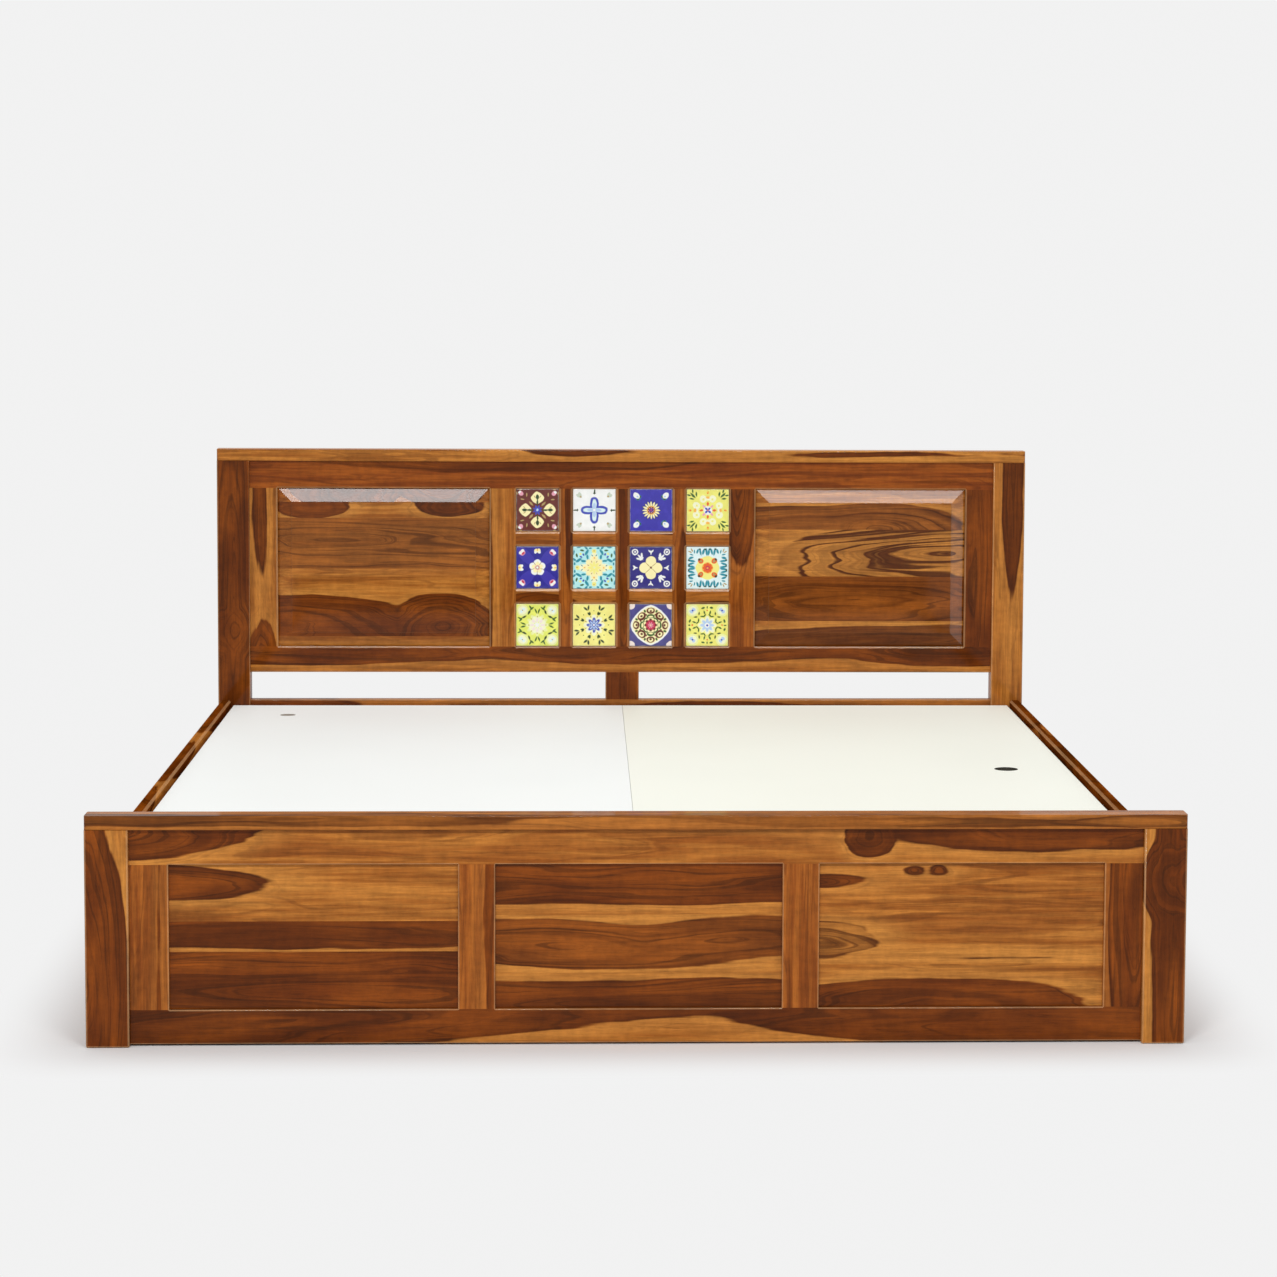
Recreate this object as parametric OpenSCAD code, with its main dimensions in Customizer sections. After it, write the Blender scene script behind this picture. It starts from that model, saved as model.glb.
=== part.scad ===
// King size box bed in solid wood, with a headboard set with glazed tiles,
// a panelled footboard and sides, and two lift-up deck boards over storage.
// The origin is on the floor, midway between the four posts.
// +X is to the right seen from the foot, +Y runs to the head and +Z is up.

/* [Overall] */
// Width over the posts
bed_w = 1930; // [1700:10:2100]
// Length over the head and foot posts
bed_l = 2134; // [1950:2:2300]
// Height of the footboard with its cap
foot_h = 409; // [340:1:600]
// Height of the side rails above the floor
side_h = 320; // [290:1:335]

/* [Posts and caps] */
// Width of each post across the bed
post_w = 76; // [60:1:100]
// Depth of each post along the bed
post_d = 50; // [44:1:80]
// Thickness of the headboard cap
head_cap_t = 28; // [18:1:40]
// Thickness of the footboard cap
foot_cap_t = 25; // [18:1:40]
// Radius of the cap corners seen from above
cap_corner_r = 7; // [2:0.5:15]
// Radius of the long edges of the caps
cap_edge_r = 3; // [1:0.5:8]
// Height of the stub on top of each post that locks the cap
cap_stub_h = 10; // [5:1:15]
// Shoulder round the stub on top of each post
cap_stub_shoulder = 12; // [8:1:18]

/* [Frame boards] */
// Thickness of the rails and stiles
board_t = 25; // [20:1:30]
// Setback of the rails behind the front face of the posts
frame_inset = 12; // [5:1:14]
// Setback of the sides from the outer face of the posts
side_inset = 5; // [0:1:12]
// Gap between the lowest rails and the floor
floor_gap = 3; // [1:0.5:10]
// Height of the bottom rails
bottom_rail_h = 61; // [40:1:90]
// Height of the footboard top rail
foot_top_rail_h = 63; // [40:1:90]
// Height of the side top rails and of the rail behind the deck
side_top_rail_h = 62; // [50:1:90]
// Width of the end stiles of the footboard
foot_end_stile_w = 68; // [50:1:90]
// Width of the end stiles of the sides and of the low head frame
side_end_stile_w = 66; // [50:1:90]
// Width of the stiles between two flat panels
mid_stile_w = 65; // [50:1:90]

/* [Headboard] */
// Height of the headboard top rail
head_top_rail_h = 65; // [45:1:90]
// Height of the headboard lower rail
head_lower_rail_h = 62; // [45:1:90]
// Open gap between the deck rail and the headboard lower rail
head_gap_h = 66; // [40:1:90]
// Width of the outer stiles of the headboard
head_outer_stile_w = 66; // [50:1:90]
// Width of the inner stiles beside the tiles
head_inner_stile_w = 63; // [50:1:90]
// Width of the short post in the middle of the gap
centre_post_w = 80; // [50:1:120]

/* [Tiles] */
// Side of each square tile
tile_size = 102; // [90:0.5:104]
// Thickness of each tile
tile_t = 7; // [5:0.5:9]
// Joint left round each tile
tile_joint = 0.5; // [0.3:0.1:2]
// Depth of the tile face behind the frame face
tile_recess = 4; // [2:0.5:6]
// Width of the upright bars between the tiles
muntin_w = 33; // [20:1:45]
// Height of the short bars between the tiles
bar_h = 35.5; // [20:0.5:60]

/* [Panels and joints] */
// Thickness of the panel tongues and of the board behind the tiles
tongue_t = 6; // [4:0.5:8]
// Length of the panel tongues in their grooves
tongue_l = 8; // [5:0.5:12]
// Room left at the bottom of each groove for the wood to move
groove_room = 1; // [0.5:0.1:3]
// Play in the thickness of grooves and mortises, on each side
joint_play = 0.1; // [0.05:0.01:0.3]
// Depth of the raised panel face behind the frame face
field_recess = 2; // [0:0.5:4]
// Width of the bevel round each raised panel
bevel_w = 33; // [20:1:60]
// Height of the small step where the bevel meets the raised face
field_step = 1.5; // [0.5:0.1:3]
// Depth of the flat panels behind the frame face
panel_recess = 9; // [5:0.5:12]
// Thickness of the flat panels
panel_t = 10; // [8:0.5:12]
// Length of the tenons of the rails in the posts
tenon_l = 30; // [15:1:45]
// Thickness of the tenons
tenon_t = 9; // [6:0.5:12]
// Shoulder above and below each tenon
tenon_shoulder = 8; // [4:1:14]
// Height of the tenons of the short centre post
stub_tenon_h = 20; // [10:1:30]

/* [Deck] */
// Thickness of the deck boards
deck_t = 12; // [9:1:18]
// Depth of the deck top below the side rails
deck_drop = 12; // [0:1:20]
// Gap between the deck boards and the sides
deck_side_gap = 7; // [3:1:15]
// Gap between the deck boards and the posts
deck_end_gap = 3; // [1:0.5:10]
// Gap between the two deck boards
deck_mid_gap = 2; // [1:0.5:6]
// Diameter of the finger hole in the right board
right_hole_d = 50; // [30:1:60]
// Distance of the right finger hole from the outer edge
right_hole_edge = 131; // [60:1:200]
// Place of the right finger hole along the bed
right_hole_y = 60; // [-200:5:200]
// Diameter of the finger hole in the left board
left_hole_d = 36; // [30:1:60]
// Distance of the left finger hole from the outer edge
left_hole_edge = 143; // [60:1:200]
// Distance of the left finger hole from the head end
left_hole_end = 159; // [80:1:300]

/* [Deck supports] */
// Width of the ledges under the edges of the deck
ledge_w = 30; // [22:1:45]
// Height of the ledges
ledge_h = 30; // [20:1:40]
// Width of the bearer along the middle of the bed
centre_bearer_w = 44; // [36:1:70]
// Height of the bearer along the middle of the bed
centre_bearer_h = 90; // [70:1:110]
// Width of the cross bearers
cross_bearer_w = 40; // [25:1:60]
// Height of the cross bearers
cross_bearer_h = 60; // [45:1:65]
// Distance of the cross bearers from the middle of the bed
cross_bearer_y = 400; // [250:10:450]
// Length of the cross bearer tenons in the centre bearer
bearer_tenon_l = 12; // [6:1:15]
// Thickness of the cross bearer tenons
bearer_tenon_t = 20; // [10:1:22]
// Shoulder above and below the cross bearer tenons
bearer_tenon_shoulder = 10; // [6:1:16]

/* [Storage] */
// Thickness of the board that parts the two storage boxes
partition_t = 18; // [12:1:25]
// Width of the runner on the floor under the partition
runner_w = 70; // [50:1:120]
// Height of the storage floor boards above the floor
storage_z = 45; // [40:1:60]
// Thickness of the storage floor boards
storage_floor_t = 9; // [6:1:15]
// Width and height of the cleats under the storage floor boards
cleat_s = 20; // [15:1:30]
// Gap round the storage floor boards
storage_gap = 1; // [0.5:0.5:3]

/* [Hardware] */
// Length of each leg of the corner brackets
bracket_leg = 40; // [32:1:44]
// Height of the corner brackets
bracket_h = 100; // [70:1:120]
// Thickness of the corner brackets
bracket_t = 3; // [2:0.5:5]
// Height of the middle of the corner brackets above the floor
bracket_z = 160; // [140:1:180]
// Distance of the bracket holes from the middle of the bracket
bracket_hole_z = 30; // [20:1:30]
// Distance of the bracket holes from the corner of the bracket
bracket_hole_x = 24; // [18:1:26]
// Diameter of the screws
screw_d = 5; // [4:0.1:6]
// Diameter of the screw heads
screw_head_d = 10; // [8:0.5:12]
// Height of the screw heads
screw_head_h = 2.5; // [2:0.1:4]
// Depth that the screws reach into the posts, stiles and rails
screw_bite = 16; // [10:1:17]
// Play round each screw shank
screw_play = 0.1; // [0.05:0.05:0.3]

/* [Hidden] */
$fn = 48;
honey = "#b8803f";
amber = "#9a5a2c";
dark = "#6a3418";
cream = "#ece6d6";
steel = "#a9adb0";
plain_ply = "#c9a877";

// How far a cut runs past the face that it opens
cut = 1;

// Places of the posts and of the framed boards
post_x = bed_w / 2 - post_w;
post_y = bed_l / 2 - post_d;
head_y = post_y + frame_inset;
foot_y = -bed_l / 2 + frame_inset;
side_x = bed_w / 2 - side_inset;
side_in = side_x - board_t;
foot_in = foot_y + board_t;

// Depth of the headboard grooves behind the front face of the frame
head_groove = tile_recess + tile_t;
bore_d = screw_d + 2 * screw_play;

// The field of tiles, which sets the height of the headboard
tile_cols = 4;
tile_rows = 3;
tile_hole = tile_size + 2 * tile_joint;
field_w = tile_cols * tile_hole + (tile_cols - 1) * muntin_w;
field_h = tile_rows * tile_hole + (tile_rows - 1) * bar_h;

// Heights of the rails, lowest first, as pairs of underside and top
bottom_rail = [floor_gap, floor_gap + bottom_rail_h];
deck_rail = [side_h - side_top_rail_h, side_h];
lower_rail = [side_h + head_gap_h, side_h + head_gap_h + head_lower_rail_h];
head_rail = [lower_rail[1] + field_h, lower_rail[1] + field_h + head_top_rail_h];
foot_rail = [foot_h - foot_cap_t - foot_top_rail_h, foot_h - foot_cap_t];

tile_colours = [
    ["#6b2a2e", "#e9e6d8", "#3f3fa0", "#dfae23"],
    ["#26309a", "#cfe6dd", "#1d2a6e", "#cfe0d6"],
    ["#b9b53a", "#e8dfb0", "#5b5570", "#d9a928"]
];

// Edges of the head stiles and the foot and side stiles
inner_x = field_w / 2;
inner_stile_x = inner_x + head_inner_stile_w;
outer_stile_x = post_x - head_outer_stile_w;
foot_panel_w = (2 * post_x - 2 * foot_end_stile_w - 2 * mid_stile_w) / 3;
side_panel_w = (2 * post_y - 2 * side_end_stile_w - 2 * mid_stile_w) / 3;

// The deck and what carries it
deck_top = side_h - deck_drop;
deck_z = deck_top - deck_t;
deck_x = side_in - deck_side_gap;
deck_y = post_y - deck_end_gap;
ledge_z = deck_z - ledge_h;
ledge_foot = foot_in + ledge_w;
ledge_head = head_y - ledge_w;
bearer_z = deck_z - centre_bearer_h;
cross_z = deck_z - cross_bearer_h;
bearer_x = centre_bearer_w / 2;

// A box given by its lowest and highest corners
module block(low, high) {
    translate(low) cube(high - low);
}

module both_sides() {
    children();
    mirror([1, 0, 0]) children();
}

module left_side() {
    mirror([1, 0, 0]) children();
}

// Places a frame that is drawn with its front face at y = 0 facing -Y
module at_head() {
    translate([0, head_y, 0]) children();
}

module at_foot() {
    translate([0, foot_y, 0]) children();
}

module at_right() {
    translate([side_x, 0, 0]) rotate([0, 0, 90]) children();
}

// The tenons at both ends of a rail, or their mortises with play
module rail_tenons(span, play = 0) {
    y = board_t / 2;
    both_sides() block(
        [post_x - cut, y - tenon_t / 2 - play, span[0] + tenon_shoulder - play],
        [post_x + tenon_l + play, y + tenon_t / 2 + play, span[1] - tenon_shoulder + play]);
}

// A groove along X in the edge of a rail at height z, cut towards step
module rail_groove(half, groove_y, z, step) {
    depth = tongue_l + groove_room;
    block(
        [-half - cut, groove_y - joint_play, min(z - step * cut, z + step * depth)],
        [half + cut, groove_y + tongue_t + joint_play, max(z - step * cut, z + step * depth)]);
}

module rail(half, span, groove_y, groove_above = false, groove_below = false) {
    difference() {
        block([-half, 0, span[0]], [half, board_t, span[1]]);
        if (groove_above) rail_groove(half, groove_y, span[1], -1);
        if (groove_below) rail_groove(half, groove_y, span[0], 1);
    }
}

// An upright board between two rails, with a tongue at each end
module stile(x0, x1, span, groove_y, groove_left = true, groove_right = true) {
    depth = tongue_l + groove_room;
    difference() {
        union() {
            block([x0, 0, span[0]], [x1, board_t, span[1]]);
            block([x0, groove_y, span[0] - tongue_l], [x1, groove_y + tongue_t, span[1] + tongue_l]);
        }
        if (groove_left) block(
            [x0 - cut, groove_y - joint_play, span[0] - tongue_l - cut],
            [x0 + depth, groove_y + tongue_t + joint_play, span[1] + tongue_l + cut]);
        if (groove_right) block(
            [x1 - depth, groove_y - joint_play, span[0] - tongue_l - cut],
            [x1 + cut, groove_y + tongue_t + joint_play, span[1] + tongue_l + cut]);
    }
}

// A flat panel whose tongue is flush with its front
module flat_panel(x0, x1, span) {
    block([x0, panel_recess, span[0]], [x1, panel_recess + panel_t, span[1]]);
    block(
        [x0 - tongue_l, panel_recess, span[0] - tongue_l],
        [x1 + tongue_l, panel_recess + tongue_t, span[1] + tongue_l]);
}

// Outline of a raised panel across an opening of width w, front at low y
module raised_section(w) {
    polygon([
        [-tongue_l, head_groove + tongue_t],
        [-tongue_l, head_groove],
        [0, head_groove],
        [bevel_w, field_recess + field_step],
        [bevel_w, field_recess],
        [w - bevel_w, field_recess],
        [w - bevel_w, field_recess + field_step],
        [w, head_groove],
        [w + tongue_l, head_groove],
        [w + tongue_l, head_groove + tongue_t]
    ]);
}

module raised_panel(x0, x1, span) {
    intersection() {
        translate([x0, 0, span[0] - tongue_l])
            linear_extrude(span[1] - span[0] + 2 * tongue_l) raised_section(x1 - x0);
        translate([x1 + tongue_l, 0, span[0]]) rotate([0, -90, 0])
            linear_extrude(x1 - x0 + 2 * tongue_l) raised_section(span[1] - span[0]);
    }
}

module rounded_rect(w, d, r) {
    translate([r, 0]) square([w - 2 * r, d]);
    translate([0, r]) square([w, d - 2 * r]);
    for (x = [r, w - r], y = [r, d - r]) translate([x, y]) circle(r);
}

// A cap over two posts, rounded at its corners and along its long edges
module cap(y, z, t) {
    difference() {
        intersection() {
            translate([-bed_w / 2, y, z]) linear_extrude(t) rounded_rect(bed_w, post_d, cap_corner_r);
            translate([-bed_w / 2, y, z]) rotate([90, 0, 90])
                linear_extrude(bed_w) rounded_rect(post_d, t, cap_edge_r);
        }
        both_sides() cap_stub(y, z, joint_play);
    }
}

// The stub on a right-hand post that locks the cap, or its mortise with play
module cap_stub(y, z, play = 0) {
    block(
        [post_x + cap_stub_shoulder - play, y + cap_stub_shoulder - play, z - cut],
        [
            bed_w / 2 - cap_stub_shoulder + play,
            y + post_d - cap_stub_shoulder + play,
            z + cap_stub_h + play
        ]);
}

module screw(shank) {
    cylinder(h = shank, d = screw_d);
    translate([0, 0, -screw_head_h]) cylinder(h = screw_head_h, d = screw_head_d);
}

module screw_bore(depth) {
    translate([0, 0, -cut]) cylinder(h = depth + cut, d = bore_d);
}

// The four corners, each as its right-hand foot corner drawn in place
module each_corner() {
    both_sides() {
        children();
        mirror([0, 1, 0]) children();
    }
}

// Places of the screws of one bracket, with +Z of each along its shank
module bracket_screw_places() {
    for (z = [bracket_z - bracket_hole_z, bracket_z + bracket_hole_z]) {
        translate([side_in - bracket_hole_x, -post_y + bracket_t, z]) rotate([90, 0, 0]) children();
        translate([side_in - bracket_t, -post_y + bracket_hole_x, z]) rotate([0, 90, 0]) children();
    }
}

// Places of the screws through the ledges, with +Z of each along its shank
module side_ledge_screw_places() {
    inner = cross_bearer_y / 2;
    outer = (cross_bearer_y + post_y) / 2;
    for (y = [-outer, -inner, inner, outer])
        translate([side_in - ledge_w, y, ledge_z + ledge_h / 2]) rotate([0, 90, 0]) children();
}

module foot_ledge_screw_places() {
    for (x = [foot_panel_w / 2 + mid_stile_w / 2, post_x - foot_end_stile_w / 2])
        translate([x, ledge_foot, ledge_z + ledge_h / 2]) rotate([90, 0, 0]) children();
}

module head_ledge_screw_places() {
    for (x = [foot_panel_w / 2 + mid_stile_w / 2, post_x - foot_end_stile_w / 2])
        translate([x, ledge_head, ledge_z + ledge_h / 2]) rotate([-90, 0, 0]) children();
}

module bracket_bores() {
    each_corner() bracket_screw_places() screw_bore(bracket_t + screw_bite + cut);
}

module ledge_bores() {
    both_sides() {
        side_ledge_screw_places() screw_bore(ledge_w + screw_bite + cut);
        foot_ledge_screw_places() screw_bore(ledge_w + screw_bite + cut);
        head_ledge_screw_places() screw_bore(ledge_w + screw_bite + cut);
    }
}

module post_right(y, top, rails) {
    difference() {
        union() {
            block([post_x, y, 0], [bed_w / 2, y + post_d, top]);
            cap_stub(y, top);
        }
        for (span = rails) translate([0, y + frame_inset, 0]) rail_tenons(span, joint_play);
        bracket_bores();
    }
}

module head_post_right() {
    color(honey) post_right(post_y, head_rail[1], [bottom_rail, deck_rail, lower_rail, head_rail]);
}

module head_post_left() {
    color(dark) left_side() post_right(post_y, head_rail[1], [bottom_rail, deck_rail, lower_rail, head_rail]);
}

module foot_post_right() {
    color(dark) post_right(-bed_l / 2, foot_rail[1], [bottom_rail, foot_rail]);
}

module foot_post_left() {
    color(dark) left_side() post_right(-bed_l / 2, foot_rail[1], [bottom_rail, foot_rail]);
}

module head_cap() {
    color(honey) cap(post_y, head_rail[1], head_cap_t);
}

module foot_cap() {
    color(amber) cap(-bed_l / 2, foot_rail[1], foot_cap_t);
}

// The tenons of the short centre post, or their mortises with play
module centre_post_tenons(play = 0) {
    y = board_t / 2;
    half = centre_post_w / 2 - tenon_shoulder;
    block(
        [-half - play, y - tenon_t / 2 - play, deck_rail[1] - stub_tenon_h - play],
        [half + play, y + tenon_t / 2 + play, lower_rail[0] + stub_tenon_h + play]);
}

module head_top_rail() {
    color(amber) at_head() {
        rail(post_x, head_rail, head_groove, groove_below = true);
        rail_tenons(head_rail);
    }
}

module head_lower_rail() {
    color(amber) at_head() difference() {
        union() {
            rail(post_x, lower_rail, head_groove, groove_above = true);
            rail_tenons(lower_rail);
        }
        centre_post_tenons(joint_play);
    }
}

module head_deck_rail() {
    color(dark) difference() {
        at_head() difference() {
            union() {
                rail(post_x, deck_rail, panel_recess, groove_below = true);
                rail_tenons(deck_rail);
            }
            centre_post_tenons(joint_play);
        }
        ledge_bores();
    }
}

module head_base_rail() {
    color(dark) at_head() {
        rail(post_x, bottom_rail, panel_recess, groove_above = true);
        rail_tenons(bottom_rail);
    }
}

module head_centre_post() {
    color(dark) at_head() {
        block([-centre_post_w / 2, 0, deck_rail[1]], [centre_post_w / 2, board_t, lower_rail[0]]);
        centre_post_tenons();
    }
}

module outer_stile() {
    at_head() stile(outer_stile_x, post_x, [lower_rail[1], head_rail[0]], head_groove, groove_right = false);
}

module inner_stile() {
    at_head() stile(inner_x, inner_stile_x, [lower_rail[1], head_rail[0]], head_groove);
}

module head_stile_outer_left() {
    color(honey) left_side() outer_stile();
}

module head_stile_outer_right() {
    color(dark) outer_stile();
}

module head_stile_inner_left() {
    color(amber) left_side() inner_stile();
}

module head_stile_inner_right() {
    color(dark) inner_stile();
}

module head_panel() {
    at_head() raised_panel(inner_stile_x, outer_stile_x, [lower_rail[1], head_rail[0]]);
}

module head_panel_left() {
    color(amber) left_side() head_panel();
}

module head_panel_right() {
    color(honey) head_panel();
}

module tile_backboard() {
    color(plain_ply) at_head() block(
        [-inner_x - tongue_l, head_groove, lower_rail[1] - tongue_l],
        [inner_x + tongue_l, head_groove + tongue_t, head_rail[0] + tongue_l]);
}

// Left edge of a tile opening, counting columns from the left
function opening_x(col) = -inner_x + col * (tile_hole + muntin_w);

// Lower edge of a tile opening, counting rows from the top
function opening_z(row) = head_rail[0] - tile_hole - row * (tile_hole + bar_h);

module tile_muntins() {
    color(amber) at_head() for (col = [1:tile_cols - 1]) block(
        [opening_x(col) - muntin_w, 0, lower_rail[1]],
        [opening_x(col), head_groove, head_rail[0]]);
}

module tile_bars() {
    color(dark) at_head() for (row = [1:tile_rows - 1], col = [0:tile_cols - 1]) block(
        [opening_x(col), 0, opening_z(row) + tile_hole],
        [opening_x(col) + tile_hole, head_groove, opening_z(row) + tile_hole + bar_h]);
}

module tile(row, col) {
    color(tile_colours[row][col]) at_head()
        translate([opening_x(col) + tile_joint, tile_recess, opening_z(row) + tile_joint])
            cube([tile_size, tile_t, tile_size]);
}

module head_base_stiles() {
    span = [bottom_rail[1], deck_rail[0]];
    color(amber) at_head() {
        both_sides() stile(post_x - side_end_stile_w, post_x, span, panel_recess, groove_right = false);
        stile(-centre_post_w / 2, centre_post_w / 2, span, panel_recess);
    }
}

module head_base_panels() {
    color(plain_ply) at_head() both_sides() flat_panel(
        centre_post_w / 2, post_x - side_end_stile_w, [bottom_rail[1], deck_rail[0]]);
}

module foot_top_rail() {
    color(amber) difference() {
        at_foot() {
            rail(post_x, foot_rail, panel_recess, groove_below = true);
            rail_tenons(foot_rail);
        }
        ledge_bores();
    }
}

module foot_bottom_rail() {
    color(amber) at_foot() {
        rail(post_x, bottom_rail, panel_recess, groove_above = true);
        rail_tenons(bottom_rail);
    }
}

module foot_stiles() {
    span = [bottom_rail[1], foot_rail[0]];
    color(honey) difference() {
        at_foot() both_sides() {
            stile(post_x - foot_end_stile_w, post_x, span, panel_recess, groove_right = false);
            stile(foot_panel_w / 2, foot_panel_w / 2 + mid_stile_w, span, panel_recess);
        }
        ledge_bores();
    }
}

// A footboard panel, counted from the middle: -1 left, 0 centre, 1 right
module foot_panel(place) {
    x = place * (foot_panel_w + mid_stile_w);
    at_foot() flat_panel(x - foot_panel_w / 2, x + foot_panel_w / 2, [bottom_rail[1], foot_rail[0]]);
}

module foot_panel_left() {
    color(amber) foot_panel(-1);
}

module foot_panel_centre() {
    color(dark) foot_panel(0);
}

module foot_panel_right() {
    color(honey) foot_panel(1);
}

module side_top_rail_right() {
    color(amber) difference() {
        at_right() rail(post_y, deck_rail, panel_recess, groove_below = true);
        ledge_bores();
    }
}

module side_top_rail_left() {
    color(honey) left_side() side_top_rail_right();
}

module side_bottom_rail_right() {
    color(dark) at_right() rail(post_y, bottom_rail, panel_recess, groove_above = true);
}

module side_bottom_rail_left() {
    color(dark) left_side() side_bottom_rail_right();
}

module side_stiles_right() {
    span = [bottom_rail[1], deck_rail[0]];
    color(honey) difference() {
        at_right() both_sides() {
            stile(post_y - side_end_stile_w, post_y, span, panel_recess, groove_right = false);
            stile(side_panel_w / 2, side_panel_w / 2 + mid_stile_w, span, panel_recess);
        }
        bracket_bores();
    }
}

module side_stiles_left() {
    color(honey) left_side() side_stiles_right();
}

module side_panels_right() {
    color(amber) at_right() for (place = [-1:1]) {
        y = place * (side_panel_w + mid_stile_w);
        flat_panel(y - side_panel_w / 2, y + side_panel_w / 2, [bottom_rail[1], deck_rail[0]]);
    }
}

module side_panels_left() {
    color(amber) left_side() side_panels_right();
}

module deck_ledges() {
    color(plain_ply) difference() {
        union() {
            both_sides() block([side_in - ledge_w, -post_y, ledge_z], [side_in, post_y, deck_z]);
            block([-post_x, foot_in, ledge_z], [post_x, ledge_foot, deck_z]);
            block([-post_x, ledge_head, ledge_z], [post_x, head_y, deck_z]);
        }
        ledge_bores();
    }
}

// The bearer along the middle, let in under the ledges at both ends
module centre_bearer() {
    color(amber) difference() {
        union() {
            block([-bearer_x, ledge_foot, bearer_z], [bearer_x, ledge_head, deck_z]);
            block([-bearer_x, foot_in, bearer_z], [bearer_x, head_y, ledge_z]);
        }
        bearer_tenons(joint_play);
    }
}

// The tenons of the cross bearers in the centre bearer, or their mortises
module bearer_tenons(play = 0) {
    half = bearer_tenon_t / 2 + play;
    low = cross_z + bearer_tenon_shoulder - play;
    high = deck_z - bearer_tenon_shoulder + play;
    for (y = [-cross_bearer_y, cross_bearer_y]) both_sides() block(
        [bearer_x - bearer_tenon_l - play, y - half, low],
        [bearer_x + cut, y + half, high]);
}

module cross_bearers() {
    color(amber) {
        for (y = [-cross_bearer_y, cross_bearer_y]) both_sides() {
            block(
                [bearer_x, y - cross_bearer_w / 2, cross_z],
                [side_in - ledge_w, y + cross_bearer_w / 2, deck_z]);
            block(
                [side_in - ledge_w - cut, y - cross_bearer_w / 2, cross_z],
                [side_in, y + cross_bearer_w / 2, ledge_z]);
        }
        bearer_tenons();
    }
}

module centre_partition() {
    color(plain_ply) block([-partition_t / 2, foot_in, storage_z], [partition_t / 2, head_y, bearer_z]);
}

module centre_runner() {
    color(dark) block([-runner_w / 2, foot_in, 0], [runner_w / 2, head_y, storage_z]);
}

module storage_floor() {
    difference() {
        block(
            [partition_t / 2, foot_in + storage_gap, storage_z],
            [side_in - storage_gap, head_y - storage_gap, storage_z + storage_floor_t]);
        for (y = [-bed_l / 2, post_y]) block(
            [post_x - storage_gap, y - storage_gap, 0],
            [bed_w / 2, y + post_d + storage_gap, side_h]);
    }
}

module storage_floor_right() {
    color(plain_ply) storage_floor();
}

module storage_floor_left() {
    color(plain_ply) left_side() storage_floor();
}

module floor_cleats() {
    low = storage_z - cleat_s;
    color(amber) {
        both_sides() {
            block([side_in - cleat_s, -post_y, low], [side_in, post_y, storage_z]);
            block([runner_w / 2, foot_in, low], [post_x, foot_in + cleat_s, storage_z]);
            block([runner_w / 2, head_y - cleat_s, low], [post_x, head_y, storage_z]);
        }
    }
}

module corner_brackets() {
    low = bracket_z - bracket_h / 2;
    high = bracket_z + bracket_h / 2;
    color(steel) difference() {
        each_corner() union() {
            block([side_in - bracket_leg, -post_y, low], [side_in, -post_y + bracket_t, high]);
            block([side_in - bracket_t, -post_y, low], [side_in, -post_y + bracket_leg, high]);
        }
        bracket_bores();
    }
}

module frame_screws() {
    color(steel) {
        each_corner() bracket_screw_places() screw(bracket_t + screw_bite);
        both_sides() {
            side_ledge_screw_places() screw(ledge_w + screw_bite);
            foot_ledge_screw_places() screw(ledge_w + screw_bite);
            head_ledge_screw_places() screw(ledge_w + screw_bite);
        }
    }
}

// A deck board on the right, with a finger hole at x, y
module deck_board(hole_x, hole_y, hole_d) {
    difference() {
        block([deck_mid_gap / 2, -deck_y, deck_z], [deck_x, deck_y, deck_top]);
        translate([hole_x, hole_y, deck_z - cut]) cylinder(h = deck_t + 2 * cut, d = hole_d);
    }
}

module deck_panel_right() {
    color(cream) deck_board(deck_x - right_hole_edge, right_hole_y, right_hole_d);
}

module deck_panel_left() {
    color(cream) left_side() deck_board(deck_x - left_hole_edge, deck_y - left_hole_end, left_hole_d);
}

head_post_left();
head_post_right();
head_cap();
head_top_rail();
head_lower_rail();
head_stile_outer_left();
head_stile_outer_right();
head_stile_inner_left();
head_stile_inner_right();
head_panel_left();
head_panel_right();
tile_muntins();
tile_bars();
tile_backboard();
tile(0, 0);  // tile_a1
tile(0, 1);  // tile_a2
tile(0, 2);  // tile_a3
tile(0, 3);  // tile_a4
tile(1, 0);  // tile_b1
tile(1, 1);  // tile_b2
tile(1, 2);  // tile_b3
tile(1, 3);  // tile_b4
tile(2, 0);  // tile_c1
tile(2, 1);  // tile_c2
tile(2, 2);  // tile_c3
tile(2, 3);  // tile_c4
head_centre_post();
head_deck_rail();
head_base_rail();
head_base_stiles();
head_base_panels();
foot_post_left();
foot_post_right();
foot_cap();
foot_top_rail();
foot_bottom_rail();
foot_stiles();
foot_panel_left();
foot_panel_centre();
foot_panel_right();
side_top_rail_left();
side_top_rail_right();
side_bottom_rail_left();
side_bottom_rail_right();
side_stiles_left();
side_stiles_right();
side_panels_left();
side_panels_right();
deck_ledges();
centre_bearer();
cross_bearers();
centre_partition();
centre_runner();
storage_floor_left();
storage_floor_right();
floor_cleats();
corner_brackets();
frame_screws();
deck_panel_left();
deck_panel_right();
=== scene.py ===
import math
import random

import bmesh
import bpy
from mathutils import Matrix, Vector
from mathutils.bvhtree import BVHTree


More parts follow.
